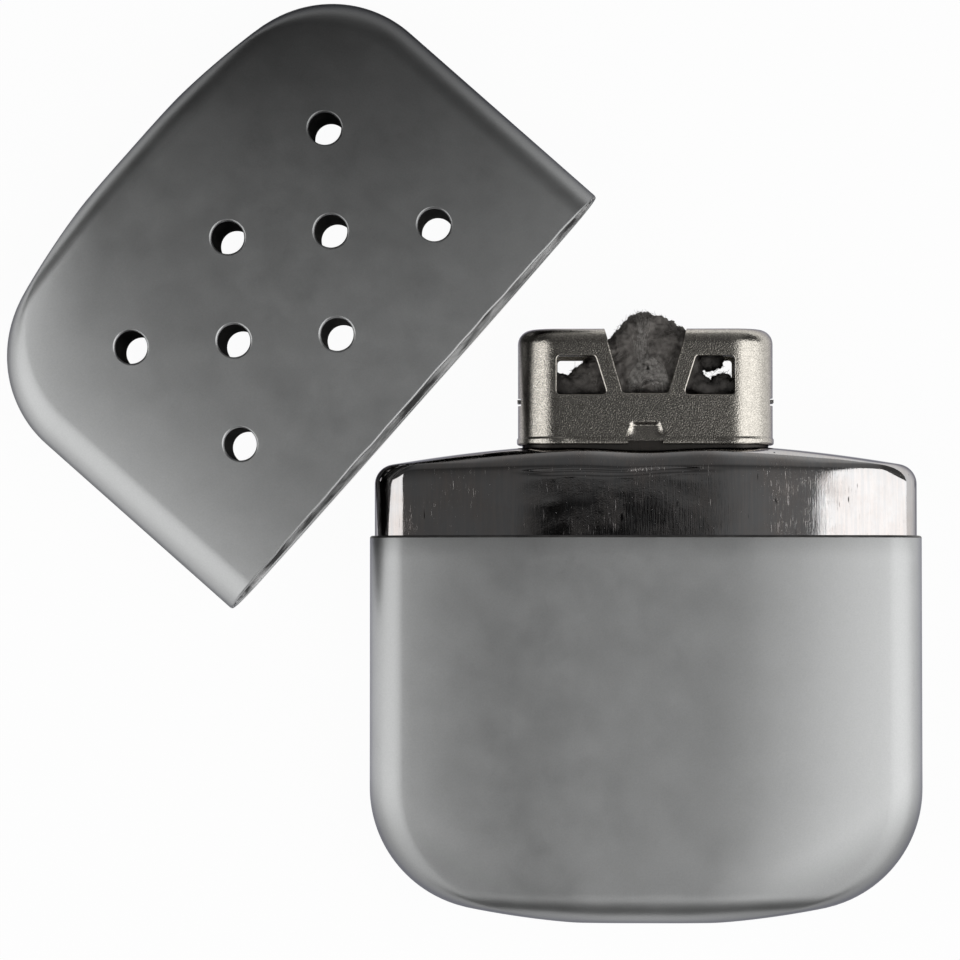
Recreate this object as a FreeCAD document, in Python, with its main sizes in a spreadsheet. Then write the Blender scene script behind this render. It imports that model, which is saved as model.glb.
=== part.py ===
import FreeCAD, Part
import math
import os

import Sketcher

# Catalytic hand warmer, lying on its back with the lid pulled off and laid beside the tank.
#
# Row frame, millimetres: the origin is on the case's flat back, halfway along the case. +X is to the
# right, +Y runs along the tank towards the burner, and +Z points up from the surface it lies on.
#
# Every piece is modelled upright in a frame of its own, x across, y from front to back and z up.
# The tank's pieces have z = 0 at the case's lip, the burner's at the foot of the burner frame and
# the lid at its mouth. Their Placements lay them down.

SIZES = [
    # the drawn outer case
    ("case_width", 68.0),
    ("case_depth", 14.0),
    ("case_height", 47.4),
    ("case_wall", 0.6),
    ("case_corner", 15.0),
    ("case_edge", 3.8),
    # the oval section that all drawn shells share: width of the flat, and the angle by which
    # the face has fallen away where the tight edge arc begins
    ("face_flat", 18.0),
    ("face_lean", 10.0),
    ("end_bow", 113.0),
    ("end_land", 20.0),
    # the shoulder shell
    ("tank_wall", 0.6),
    ("skirt_length", 4.0),
    ("shoulder_height", 10.8),
    ("shoulder_bow", 185.0),
    ("shoulder_corner", 2.5),
    ("shoulder_edge", 3.0),
    ("shoulder_roll", 1.6),
    ("solder_height", 0.8),
    # the lid, its vents and where it lies
    ("lid_height", 46.8),
    ("lid_wall", 0.5),
    ("lid_clearance", 0.1),
    ("lid_corner", 14.4),
    ("lid_edge", 3.8),
    ("vent_diameter", 4.0),
    ("vent_pitch", 17.9),
    ("vent_row_gap", 8.95),
    ("vent_centre", 21.2),
    ("lid_turn", 48.5),
    ("lid_left", 28.5),
    ("lid_ahead", 16.4),
    # the filler neck and what lies under it
    ("neck_rise", 4.2),
    ("neck_sink", 2.2),
    ("neck_wall", 0.5),
    ("wadding_gap", 0.3),
    ("wadding_top", 5.5),
    ("felt_gap", 0.2),
    ("felt_top", 9.3),
    # the burner frame
    ("burner_width", 31.4),
    ("burner_depth", 11.0),
    ("burner_height", 14.25),
    ("burner_sheet", 0.5),
    ("burner_corner", 4.6),
    ("burner_edge", 1.8),
    ("burner_clearance", 0.05),
    ("burner_lift", 0.3),
    ("window_outer", 10.85),
    ("window_inner_top", 6.2),
    ("window_inner_foot", 4.75),
    ("window_foot", 6.15),
    ("window_height", 4.65),
    ("notch_top", 5.05),
    ("notch_foot", 2.75),
    ("notch_floor", 6.3),
    ("cut_corner", 0.4),
    ("grip_length", 4.0),
    ("grip_height", 1.2),
    ("grip_rise", 2.05),
    ("grip_depth", 0.3),
    ("foot_notch_width", 4.3),
    ("foot_notch_height", 0.45),
    ("slot_length", 4.0),
    ("slot_height", 0.8),
    ("slot_rise", 5.0),
    # the retainer, the gauze and the catalyst
    ("retainer_sheet", 0.4),
    ("retainer_gap", 0.1),
    ("retainer_rim", 1.6),
    ("ear_length", 3.4),
    ("ear_reach", 0.05),
    ("gauze_thickness", 0.3),
    ("wool_gap", 0.3),
    ("wool_shoulder", 8.65),
    ("wool_waist", 13.15),
    ("wool_waist_gap", 0.25),
    ("wool_top", 16.05),
    ("wool_hollow", 17.0),
]

# sections in each lofted end of a drawn shell, and the way in which that end points
STATIONS = 14
UP = 1
DOWN = -1

# how far two coordinates may differ and still count as the same
SAME = 1e-4

doc = FreeCAD.newDocument("hand_warmer")
sheet = doc.addObject("Spreadsheet::Sheet", "Sizes")
for row, (alias, value) in enumerate(SIZES, start=1):
    sheet.set(f"A{row}", alias)
    sheet.set(f"B{row}", str(value))
    sheet.setAlias(f"B{row}", alias)
doc.recompute()


def size(alias):
    """A driving dimension, read from the sheet."""
    return float(sheet.get(alias))


# ---------------------------------------------------------------- frames

LAID_DOWN = FreeCAD.Rotation(FreeCAD.Vector(1, 0, 0), -90)


def tank_placement(rise=0.0):
    """Lays an upright piece on its back; rise is its height above the case's lip."""
    lip = size("case_height") / 2
    return FreeCAD.Placement(FreeCAD.Vector(0, lip + rise, size("case_depth") / 2), LAID_DOWN)


def burner_placement():
    return tank_placement(size("shoulder_height") + size("burner_lift"))


def lid_placement():
    """The lid lies to the left of the tank, ahead of the lip, turned about the vertical."""
    turn = FreeCAD.Rotation(FreeCAD.Vector(0, 0, 1), size("lid_turn"))
    lip = size("case_height") / 2
    spot = FreeCAD.Vector(-size("lid_left"), lip + size("lid_ahead"), lid_half_depth())
    return FreeCAD.Placement(spot, turn.multiply(LAID_DOWN))


def neck_half_width():
    return size("case_width") / 2 - size("case_wall")


def neck_half_depth():
    return size("case_depth") / 2 - size("case_wall")


def lid_half_width():
    return neck_half_width() + size("lid_clearance") + size("lid_wall")


def lid_half_depth():
    return neck_half_depth() + size("lid_clearance") + size("lid_wall")


# ---------------------------------------------------------------- drawn shells


def oval_wire(half_width, half_depth, flat, height):
    """Flattened oval at a height: in each quarter a flat, a slow arc and half a tight edge arc.

    The slow arc leans by face_lean where the edge arc begins. Its radius and the edge arc's
    follow from the oval's width and depth.
    """
    lean = math.radians(size("face_lean"))
    share = (1 - math.sin(lean)) / math.cos(lean)
    slow = (half_width - flat - share * half_depth) / (math.sin(lean) - share * (1 - math.cos(lean)))
    drop = slow * (1 - math.cos(lean))
    edge = (half_depth - drop) / math.cos(lean)
    join_x = half_width - edge * (1 - math.sin(lean))
    join_y = half_depth - drop
    mid_x = flat + slow * math.sin(lean / 2)
    mid_y = half_depth - slow * (1 - math.cos(lean / 2))

    def point(x, y):
        return FreeCAD.Vector(x, y, height)

    def half(side):
        """The three arcs of one side, from the front flat round to the back flat."""
        spots = [
            (flat, -half_depth),
            (mid_x, -mid_y),
            (join_x, -join_y),
            (half_width, 0),
            (join_x, join_y),
            (mid_x, mid_y),
            (flat, half_depth),
        ]
        points = [point(side * x, y) for x, y in spots]
        return [Part.Arc(*points[i : i + 3]).toShape() for i in (0, 2, 4)]

    right = half(1)
    left = half(-1)
    back_flat = Part.LineSegment(point(flat, half_depth), point(-flat, half_depth)).toShape()
    front_flat = Part.LineSegment(point(-flat, -half_depth), point(flat, -half_depth)).toShape()
    return Part.Wire(right + [back_flat] + left[::-1] + [front_flat])


def drawn_solid(half_width, half_depth, flat, height, corner, bow, edge, roll, land, way):
    """Solid inside a drawn cup: open end at z = 0, closed end at height, up or down by way.

    Seen from the front the closed end is a flat land, as far as land from the middle, then a
    shallow bow and a corner arc on each side. Seen from the side its edges are rounded: edge
    is the rounding's length along the cup and roll how far it draws in.
    """
    cap = bow - math.sqrt(bow**2 - land**2)
    corner_x = half_width - corner
    corner_start = bow - math.sqrt((bow - corner) ** 2 - corner_x**2) - cap
    bow_end = bow - (bow - corner_start - cap) * bow / (bow - corner) - cap

    def width_at(depth):
        if depth < bow_end:
            return math.sqrt(bow**2 - (bow - cap - depth) ** 2)
        return corner_x + math.sqrt(max(corner**2 - (corner_start - depth) ** 2, 0.0))

    def depth_at(depth):
        if depth < edge:
            rise = 1 - depth / edge
            return half_depth - roll * (1 - math.sqrt(1 - rise**2))
        return half_depth

    def station(depth):
        wide = width_at(depth)
        return oval_wire(wide, depth_at(depth), flat * wide / half_width, way * (height - depth))

    turns = [math.pi / 2 * i / (STATIONS - 1) for i in range(STATIONS)]
    crown = Part.makeLoft([station(corner_start * (1 - math.cos(turn))) for turn in turns], True, False)
    straight = Part.Face(oval_wire(half_width, half_depth, flat, 0)).extrude(
        FreeCAD.Vector(0, 0, way * (height - corner_start))
    )
    return straight.fuse(crown).Solids[0]


def drawn_cup(half_width, half_depth, flat, height, wall, corner, bow, edge, roll, land, way):
    """A drawn sheet-metal cup with its mouth at z = 0."""
    outer = (half_width, half_depth, flat, height, corner, bow, edge, roll, land)
    inner = [value if value is flat else value - wall for value in outer]
    outside = drawn_solid(*outer, way)
    inside = drawn_solid(*inner, way)
    return outside.cut(inside).Solids[0]


def feature(name, shape, placement):
    """A document object that holds a shape made in code."""
    thing = doc.addObject("Part::Feature", name)
    thing.Shape = shape
    thing.Placement = placement
    return thing


def half_flat():
    return size("face_flat") / 2


def make_outer_case():
    cup = drawn_cup(
        size("case_width") / 2,
        size("case_depth") / 2,
        half_flat(),
        size("case_height"),
        size("case_wall"),
        size("case_corner"),
        size("end_bow"),
        size("case_edge"),
        size("case_edge"),
        size("end_land") / 2,
        DOWN,
    )
    return feature("outer_case", cup, tank_placement())


def make_seam_solder():
    """The solder ring on the case's inner wall, under the end of the shoulder shell's skirt."""
    wall = size("tank_wall")
    outer = Part.Face(oval_wire(neck_half_width(), neck_half_depth(), half_flat(), 0))
    inner = Part.Face(oval_wire(neck_half_width() - wall, neck_half_depth() - wall, half_flat(), 0))
    ring = outer.cut(inner).extrude(FreeCAD.Vector(0, 0, DOWN * size("solder_height")))
    return feature("seam_solder", ring, tank_placement(-size("skirt_length")))


def make_fuel_wadding():
    """Cotton that fills the case and the lower part of the shoulder shell."""
    inset = size("tank_wall") + size("wadding_gap")
    bottom_gap = size("case_wall") + inset
    block = drawn_solid(
        neck_half_width() - inset,
        neck_half_depth() - inset,
        half_flat(),
        size("case_height") - bottom_gap + size("wadding_top"),
        size("case_corner") - bottom_gap,
        size("end_bow") - bottom_gap,
        size("case_edge") - bottom_gap,
        size("case_edge") - bottom_gap,
        size("end_land") / 2 - bottom_gap,
        DOWN,
    )
    return feature("fuel_wadding", block, tank_placement(size("wadding_top")))


# ---------------------------------------------------------------- sketch helpers


def origin_plane(body, role):
    return next(plane for plane in body.Origin.OriginFeatures if plane.Role == role)


def new_body(name, placement):
    body = doc.addObject("PartDesign::Body", name)
    body.Placement = placement
    return body


def new_sketch(body, name, role, offset=None):
    """A sketch on one of the body's origin planes, moved along its normal by an expression."""
    sketch = body.newObject("Sketcher::SketchObject", name)
    sketch.AttachmentSupport = [(origin_plane(body, role), "")]
    sketch.MapMode = "FlatFace"
    if offset is not None:
        sketch.setExpression("AttachmentOffset.Base.z", offset)
    return sketch


def bind(sketch, kind, refs, value, expression):
    """Adds a dimension and binds it to the sheet."""
    index = sketch.addConstraint(Sketcher.Constraint(kind, *refs, value))
    sketch.setExpression(f"Constraints[{index}]", expression)


def add_rounded_rectangle(sketch, width, depth, radius):
    """A rectangle about the origin with round corners; each size is an expression of the sheet."""
    half_x, half_y, corner = 10.0, 6.0, 2.0
    vector = FreeCAD.Vector
    lines = [
        (vector(-half_x + corner, -half_y), vector(half_x - corner, -half_y)),
        (vector(half_x, -half_y + corner), vector(half_x, half_y - corner)),
        (vector(half_x - corner, half_y), vector(-half_x + corner, half_y)),
        (vector(-half_x, half_y - corner), vector(-half_x, -half_y + corner)),
    ]
    centres = [(1, -1, 270), (1, 1, 0), (-1, 1, 90), (-1, -1, 180)]
    sides = []
    corners = []
    for (start, end), (sign_x, sign_y, first) in zip(lines, centres):
        sides.append(sketch.addGeometry(Part.LineSegment(start, end), False))
        centre = vector(sign_x * (half_x - corner), sign_y * (half_y - corner))
        circle = Part.Circle(centre, vector(0, 0, 1), corner)
        arc = Part.ArcOfCircle(circle, math.radians(first), math.radians(first + 90))
        corners.append(sketch.addGeometry(arc, False))
    for i in range(4):
        after = (i + 1) % 4
        sketch.addConstraint(Sketcher.Constraint("Tangent", sides[i], 2, corners[i], 1))
        sketch.addConstraint(Sketcher.Constraint("Tangent", corners[i], 2, sides[after], 1))
        if i:
            sketch.addConstraint(Sketcher.Constraint("Equal", corners[0], corners[i]))
    for flat, upright in ((sides[0], sides[1]), (sides[2], sides[3])):
        sketch.addConstraint(Sketcher.Constraint("Horizontal", flat))
        sketch.addConstraint(Sketcher.Constraint("Vertical", upright))
    sketch.addConstraint(Sketcher.Constraint("Symmetric", corners[0], 3, corners[2], 3, -1, 1))
    bind(sketch, "DistanceX", (sides[3], 1, sides[1], 1), 2 * half_x, width)
    bind(sketch, "DistanceY", (sides[0], 1, sides[2], 1), 2 * half_y, depth)
    bind(sketch, "Radius", (corners[0],), corner, radius)


def add_polygon(sketch, corners):
    """A closed polygon; each corner is a pair of guesses and a pair of expressions."""
    points = [FreeCAD.Vector(x, y) for (x, y), _ in corners]
    lines = [
        sketch.addGeometry(Part.LineSegment(points[i], points[(i + 1) % len(points)]), False)
        for i in range(len(points))
    ]
    for i, line in enumerate(lines):
        sketch.addConstraint(Sketcher.Constraint("Coincident", line, 2, lines[(i + 1) % len(lines)], 1))
    for line, ((x, y), (x_value, y_value)) in zip(lines, corners):
        bind(sketch, "DistanceX", (-1, 1, line, 1), x, x_value)
        bind(sketch, "DistanceY", (-1, 1, line, 1), y, y_value)
    return lines


def pad(body, sketch, name, length, midplane=False, reverse=False):
    thing = body.newObject("PartDesign::Pad", name)
    thing.Profile = sketch
    thing.setExpression("Length", length)
    thing.Midplane = midplane
    thing.Reversed = reverse
    return thing


def pocket(body, sketch, name, length, midplane=False, reverse=False):
    thing = body.newObject("PartDesign::Pocket", name)
    thing.Profile = sketch
    thing.setExpression("Length", length)
    thing.Midplane = midplane
    thing.Reversed = reverse
    return thing


def must_cut(body, feature_after, volume_before):
    """Volume after a cut. A cut that misses the solid shows no error, so it has to be smaller."""
    doc.recompute()
    if feature_after.Shape.Volume >= volume_before:
        raise RuntimeError(f"{body.Label}: {feature_after.Label} cuts nothing")
    return feature_after.Shape.Volume


# ---------------------------------------------------------------- tank pieces

NECK_WIDTH = "Sizes.burner_width - 2 * Sizes.burner_sheet - 2 * Sizes.burner_clearance"
NECK_DEPTH = (
    "Sizes.burner_depth - 2 * Sizes.burner_sheet - 2 * Sizes.grip_depth - 2 * Sizes.burner_clearance"
)
NECK_CORNER = "Sizes.burner_corner - Sizes.burner_sheet - Sizes.burner_clearance"


def make_neck_hole():
    """The prism that opens the shoulder for the filler neck."""
    body = new_body("neck_hole", tank_placement())
    outline = new_sketch(body, "NeckHoleOutline", "XY_Plane")
    add_rounded_rectangle(outline, NECK_WIDTH, NECK_DEPTH, NECK_CORNER)
    pad(body, outline, "NeckHolePrism", "Sizes.shoulder_height * 2")
    return body


def make_tank_top():
    """The shoulder shell: its skirt sits inside the case, its side is the neck for the lid."""
    cup = drawn_cup(
        neck_half_width(),
        neck_half_depth(),
        half_flat(),
        size("skirt_length") + size("shoulder_height"),
        size("tank_wall"),
        size("shoulder_corner"),
        size("shoulder_bow"),
        size("shoulder_edge"),
        size("shoulder_roll"),
        size("burner_width") / 2 + size("burner_lift"),
        UP,
    )
    blank = feature("tank_blank", cup, tank_placement(-size("skirt_length")))
    top = doc.addObject("Part::Cut", "tank_top")
    top.Base = blank
    top.Tool = make_neck_hole()
    return top


def make_filler_neck():
    """Collar that the fuel goes in through and the burner pushes onto."""
    body = new_body("filler_neck", tank_placement())
    start = "Sizes.shoulder_height - Sizes.neck_sink"
    height = "Sizes.neck_sink + Sizes.neck_rise"
    outline = new_sketch(body, "NeckOutline", "XY_Plane", start)
    add_rounded_rectangle(outline, NECK_WIDTH, NECK_DEPTH, NECK_CORNER)
    block = pad(body, outline, "NeckBlock", height)
    doc.recompute()
    before = block.Shape.Volume
    bore = new_sketch(body, "NeckBore", "XY_Plane", start)
    add_rounded_rectangle(
        bore,
        NECK_WIDTH + " - 2 * Sizes.neck_wall",
        NECK_DEPTH + " - 2 * Sizes.neck_wall",
        NECK_CORNER + " - Sizes.neck_wall",
    )
    must_cut(body, pocket(body, bore, "NeckOpening", height, reverse=True), before)
    return body


def make_wick_felt():
    """Felt pad that stands on the wadding and ends inside the filler neck."""
    body = new_body("wick_felt", tank_placement())
    outline = new_sketch(body, "FeltOutline", "XY_Plane", "Sizes.wadding_top")
    inset = " - 2 * (Sizes.neck_wall + Sizes.felt_gap)"
    corner = NECK_CORNER + " - Sizes.neck_wall - Sizes.felt_gap"
    add_rounded_rectangle(outline, NECK_WIDTH + inset, NECK_DEPTH + inset, corner)
    pad(body, outline, "FeltPad", "Sizes.felt_top - Sizes.wadding_top")
    return body


# ---------------------------------------------------------------- burner pieces

INSIDE_WIDTH = "Sizes.burner_width - 2 * Sizes.burner_sheet"
INSIDE_DEPTH = "Sizes.burner_depth - 2 * Sizes.burner_sheet"
INSIDE_CORNER = "Sizes.burner_corner - Sizes.burner_sheet"


def names_at(kind, pieces, height):
    """Names of the edges or faces that lie flat at a height."""
    names = []
    for number, piece in enumerate(pieces, start=1):
        box = piece.BoundBox
        if abs(box.ZMin - height) < SAME and abs(box.ZMax - height) < SAME:
            names.append(f"{kind}{number}")
    return names


def edges_along_depth(shape, low, high):
    """Names of the straight edges that run from front to back between two heights."""
    names = []
    for number, edge in enumerate(shape.Edges, start=1):
        box = edge.BoundBox
        straight = box.ZMax - box.ZMin < SAME and box.XMax - box.XMin < SAME
        if straight and box.YMax - box.YMin > SAME and low < box.ZMin and box.ZMax < high:
            names.append(f"Edge{number}")
    return names


def add_window_sketch(body, side):
    """One slanted window beside the notch; side is 1 for the right and -1 for the left."""
    name = "RightWindow" if side > 0 else "LeftWindow"
    sketch = new_sketch(body, name, "XZ_Plane")
    sign = "" if side > 0 else "-"
    foot = "Sizes.window_foot"
    top = "Sizes.window_foot + Sizes.window_height"
    add_polygon(
        sketch,
        [
            ((side * 4.8, 6.4), (sign + "Sizes.window_inner_foot", foot)),
            ((side * 10.8, 6.4), (sign + "Sizes.window_outer", foot)),
            ((side * 10.8, 11.1), (sign + "Sizes.window_outer", top)),
            ((side * 6.2, 11.1), (sign + "Sizes.window_inner_top", top)),
        ],
    )
    return sketch


def add_notch_sketch(body):
    """The V-shaped notch, open at the top, whose sides go on in line above the frame."""
    sketch = new_sketch(body, "Notch", "XZ_Plane")
    rise = "(Sizes.burner_height - Sizes.notch_floor)"
    over = "Sizes.notch_top + (Sizes.notch_top - Sizes.notch_foot)"
    top = f"Sizes.burner_height + {rise}"
    add_polygon(
        sketch,
        [
            ((2.7, 6.5), ("Sizes.notch_foot", "Sizes.notch_floor")),
            ((7.4, 21.4), (over, top)),
            ((-7.4, 21.4), (f"-({over})", top)),
            ((-2.7, 6.5), ("-Sizes.notch_foot", "Sizes.notch_floor")),
        ],
    )
    return sketch


def add_box_sketch(body, name, role, centre, width, height, offset=None):
    """A rectangle whose centre lies on the vertical axis, from expressions of the sheet."""
    sketch = new_sketch(body, name, role, offset)
    low = f"{centre} - ({height}) / 2"
    high = f"{centre} + ({height}) / 2"
    add_polygon(
        sketch,
        [
            ((-2.0, 1.0), (f"-({width}) / 2", low)),
            ((2.0, 1.0), (f"({width}) / 2", low)),
            ((2.0, 3.0), (f"({width}) / 2", high)),
            ((-2.0, 3.0), (f"-({width}) / 2", high)),
        ],
    )
    return sketch


def make_burner_frame():
    """Sheet-metal housing, open at the foot, with windows, notch, grips and retainer slots."""
    body = new_body("burner_frame", burner_placement())
    outline = new_sketch(body, "FrameOutline", "XY_Plane")
    add_rounded_rectangle(outline, "Sizes.burner_width", "Sizes.burner_depth", "Sizes.burner_corner")
    block = pad(body, outline, "FrameBlock", "Sizes.burner_height")
    doc.recompute()
    rounding = body.newObject("PartDesign::Fillet", "FrameEdge")
    rounding.Base = (block, names_at("Edge", block.Shape.Edges, size("burner_height")))
    rounding.setExpression("Radius", "Sizes.burner_edge")
    doc.recompute()
    hollow = body.newObject("PartDesign::Thickness", "FrameHollow")
    hollow.Base = (rounding, names_at("Face", rounding.Shape.Faces, 0))
    hollow.setExpression("Value", "Sizes.burner_sheet")
    hollow.Reversed = True
    volume = must_cut(body, hollow, rounding.Shape.Volume)
    for side in (1, -1):
        window = add_window_sketch(body, side)
        cut = pocket(body, window, window.Label + "Cut", "Sizes.burner_depth * 2", midplane=True)
        volume = must_cut(body, cut, volume)
    notch = add_notch_sketch(body)
    notch_cut = pocket(body, notch, "NotchCut", "Sizes.burner_depth * 2", midplane=True)
    must_cut(body, notch_cut, volume)
    below_rounding = size("burner_height") - size("burner_edge")
    corners = body.newObject("PartDesign::Fillet", "CutCorners")
    corners.Base = (notch_cut, edges_along_depth(notch_cut.Shape, size("burner_sheet"), below_rounding))
    corners.setExpression("Radius", "Sizes.cut_corner")
    doc.recompute()
    volume = corners.Shape.Volume
    foot = add_box_sketch(
        body, "FootNotch", "XZ_Plane", "0", "Sizes.foot_notch_width", "2 * Sizes.foot_notch_height"
    )
    foot_cut = pocket(body, foot, "FootNotchCut", "Sizes.burner_depth * 2", midplane=True)
    volume = must_cut(body, foot_cut, volume)
    slot_middle = "(Sizes.slot_rise + Sizes.slot_height / 2)"
    slot = add_box_sketch(
        body, "RetainerSlot", "YZ_Plane", slot_middle, "Sizes.slot_length", "Sizes.slot_height"
    )
    slot_cut = pocket(body, slot, "RetainerSlotCut", "Sizes.burner_width * 2", midplane=True)
    add_grips(body, must_cut(body, slot_cut, volume))
    return body


def add_grips(body, volume):
    """Two dimples pressed inwards, front and back, that grip the filler neck."""
    for side, name in ((1, "Front"), (-1, "Back")):
        sign = "" if side > 0 else "-"
        reverse = side < 0
        outer = add_box_sketch(
            body,
            name + "GripOutside",
            "XZ_Plane",
            "Sizes.grip_rise",
            "Sizes.grip_length",
            "Sizes.grip_height",
            f"{sign}Sizes.burner_depth / 2",
        )
        dent = pocket(body, outer, name + "GripDent", "Sizes.grip_depth", reverse=reverse)
        volume = must_cut(body, dent, volume)
        inner = add_box_sketch(
            body,
            name + "GripInside",
            "XZ_Plane",
            "Sizes.grip_rise",
            "Sizes.grip_length - 2 * Sizes.grip_depth",
            "Sizes.grip_height - Sizes.grip_depth",
            f"{sign}(Sizes.burner_depth / 2 - Sizes.burner_sheet)",
        )
        bump = pad(body, inner, name + "GripBump", "Sizes.grip_depth", reverse=not reverse)
        doc.recompute()
        volume = bump.Shape.Volume


def make_burner_retainer():
    """Plate inside the frame that carries the gauze, with an ear through each side slot."""
    body = new_body("burner_retainer", burner_placement())
    rise = "Sizes.slot_rise + (Sizes.slot_height - Sizes.retainer_sheet) / 2"
    outline = new_sketch(body, "RetainerOutline", "XY_Plane", rise)
    inset = " - 2 * Sizes.retainer_gap"
    corner = INSIDE_CORNER + " - Sizes.retainer_gap"
    add_rounded_rectangle(outline, INSIDE_WIDTH + inset, INSIDE_DEPTH + inset, corner)
    pad(body, outline, "RetainerPlate", "Sizes.retainer_sheet")
    ears = new_sketch(body, "RetainerEars", "XY_Plane", rise)
    reach = "(Sizes.burner_width / 2 + Sizes.ear_reach)"
    half = "Sizes.ear_length / 2"
    add_polygon(
        ears,
        [
            ((-16.0, -1.7), (f"-{reach}", f"-{half}")),
            ((16.0, -1.7), (reach, f"-{half}")),
            ((16.0, 1.7), (reach, half)),
            ((-16.0, 1.7), (f"-{reach}", half)),
        ],
    )
    bar = pad(body, ears, "RetainerEarBar", "Sizes.retainer_sheet")
    doc.recompute()
    volume = bar.Shape.Volume
    opening = new_sketch(body, "RetainerOpening", "XY_Plane", rise)
    rim = " - 2 * (Sizes.retainer_gap + Sizes.retainer_rim)"
    opening_corner = INSIDE_CORNER + " - Sizes.retainer_gap - Sizes.retainer_rim"
    add_rounded_rectangle(opening, INSIDE_WIDTH + rim, INSIDE_DEPTH + rim, opening_corner)
    cut = pocket(body, opening, "RetainerOpeningCut", "Sizes.retainer_sheet", reverse=True)
    must_cut(body, cut, volume)
    return body


GAUZE_RISE = "Sizes.slot_rise + (Sizes.slot_height + Sizes.retainer_sheet) / 2"
WOOL_WIDTH = INSIDE_WIDTH + " - 2 * Sizes.wool_gap"
WOOL_DEPTH = INSIDE_DEPTH + " - 2 * Sizes.wool_gap"
WOOL_CORNER = INSIDE_CORNER + " - Sizes.wool_gap"


def make_burner_gauze():
    """The wire gauze, as the flat sheet that its weave fills."""
    body = new_body("burner_gauze", burner_placement())
    outline = new_sketch(body, "GauzeOutline", "XY_Plane", GAUZE_RISE)
    add_rounded_rectangle(outline, WOOL_WIDTH, WOOL_DEPTH, WOOL_CORNER)
    pad(body, outline, "GauzeSheet", "Sizes.gauze_thickness")
    return body


def make_catalyst_wool():
    """Glass wool that fills the frame's lower half and heaps up through the notch."""
    section = new_body("wool_section", burner_placement())
    outline = new_sketch(section, "WoolSection", "XY_Plane")
    add_rounded_rectangle(outline, WOOL_WIDTH, WOOL_DEPTH, WOOL_CORNER)
    pad(section, outline, "WoolColumn", "Sizes.wool_top * 2")

    heap = new_body("wool_heap", burner_placement())
    profile = new_sketch(heap, "WoolProfile", "XZ_Plane")
    add_heap_profile(profile)
    pad(heap, profile, "WoolHeap", "Sizes.burner_depth * 2", midplane=True)

    wool = doc.addObject("Part::Common", "catalyst_wool")
    wool.Base = section
    wool.Tool = heap
    return wool


def add_heap_profile(sketch):
    """Front view of the heap: low shoulders, a hollow rise on each side, and a round top."""
    vector = FreeCAD.Vector
    side = "Sizes.burner_width / 2"
    slope = "(Sizes.notch_top - Sizes.notch_foot) / (Sizes.burner_height - Sizes.notch_floor)"
    waist = f"(Sizes.notch_foot + (Sizes.wool_waist - Sizes.notch_floor) * {slope} - Sizes.wool_waist_gap)"
    foot = f"{GAUZE_RISE} + Sizes.gauze_thickness"
    spots = {
        "low_left": ((-15.7, 6.0), (f"-{side}", foot)),
        "low_right": ((15.7, 6.0), (side, foot)),
        "high_right": ((15.7, 8.6), (side, "Sizes.wool_shoulder")),
        "waist_right": ((4.6, 13.4), (waist, "Sizes.wool_waist")),
        "waist_left": ((-4.6, 13.4), (f"-{waist}", "Sizes.wool_waist")),
        "high_left": ((-15.7, 8.6), (f"-{side}", "Sizes.wool_shoulder")),
    }

    def at(name):
        return vector(*spots[name][0])

    right_rise = Part.Arc(at("high_right"), vector(9.0, 9.9), at("waist_right"))
    top = Part.Arc(at("waist_right"), vector(0, 16.0), at("waist_left"))
    left_rise = Part.Arc(at("waist_left"), vector(-9.0, 9.9), at("high_left"))
    left_side = sketch.addGeometry(Part.LineSegment(at("high_left"), at("low_left")), False)
    foot_line = sketch.addGeometry(Part.LineSegment(at("low_left"), at("low_right")), False)
    right_side = sketch.addGeometry(Part.LineSegment(at("low_right"), at("high_right")), False)
    right_arc = sketch.addGeometry(right_rise, False)
    top_arc = sketch.addGeometry(top, False)
    left_arc = sketch.addGeometry(left_rise, False)

    def end_near(arc, name):
        """Which end of an arc, 1 or 2, lies at a named spot: arcs are stored anticlockwise."""
        start = sketch.getPoint(arc, 1)
        return 1 if start.distanceToPoint(at(name)) < 0.1 else 2

    for first, first_end, arc, name in (
        (right_side, 2, right_arc, "high_right"),
        (left_side, 1, left_arc, "high_left"),
    ):
        sketch.addConstraint(Sketcher.Constraint("Coincident", first, first_end, arc, end_near(arc, name)))
    for arc, name in ((right_arc, "waist_right"), (left_arc, "waist_left")):
        ends = (arc, end_near(arc, name), top_arc, end_near(top_arc, name))
        sketch.addConstraint(Sketcher.Constraint("Coincident", *ends))
    sketch.addConstraint(Sketcher.Constraint("Coincident", left_side, 2, foot_line, 1))
    sketch.addConstraint(Sketcher.Constraint("Coincident", foot_line, 2, right_side, 1))
    anchors = (
        (left_side, 1, "high_left"),
        (left_side, 2, "low_left"),
        (right_side, 1, "low_right"),
        (right_side, 2, "high_right"),
        (top_arc, end_near(top_arc, "waist_right"), "waist_right"),
        (top_arc, end_near(top_arc, "waist_left"), "waist_left"),
    )
    for line, end, name in anchors:
        (x, y), (x_value, y_value) = spots[name]
        bind(sketch, "DistanceX", (-1, 1, line, end), x, x_value)
        bind(sketch, "DistanceY", (-1, 1, line, end), y, y_value)
    rise = "(Sizes.wool_top - Sizes.wool_waist)"
    top_radius = f"({waist} ^ 2 + {rise} ^ 2) / (2 * {rise})"
    bind(sketch, "Radius", (top_arc,), top.toShape().Curve.Radius, top_radius)
    bind(sketch, "Radius", (right_arc,), right_rise.toShape().Curve.Radius, "Sizes.wool_hollow")
    sketch.addConstraint(Sketcher.Constraint("Equal", right_arc, left_arc))


# ---------------------------------------------------------------- lid


def vent_spots():
    """Vent centres as counts of half pitches across and of rows up: three, two and three."""
    return [(-2, -1), (0, -1), (2, -1), (-1, 0), (1, 0), (-2, 1), (0, 1), (2, 1)]


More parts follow.
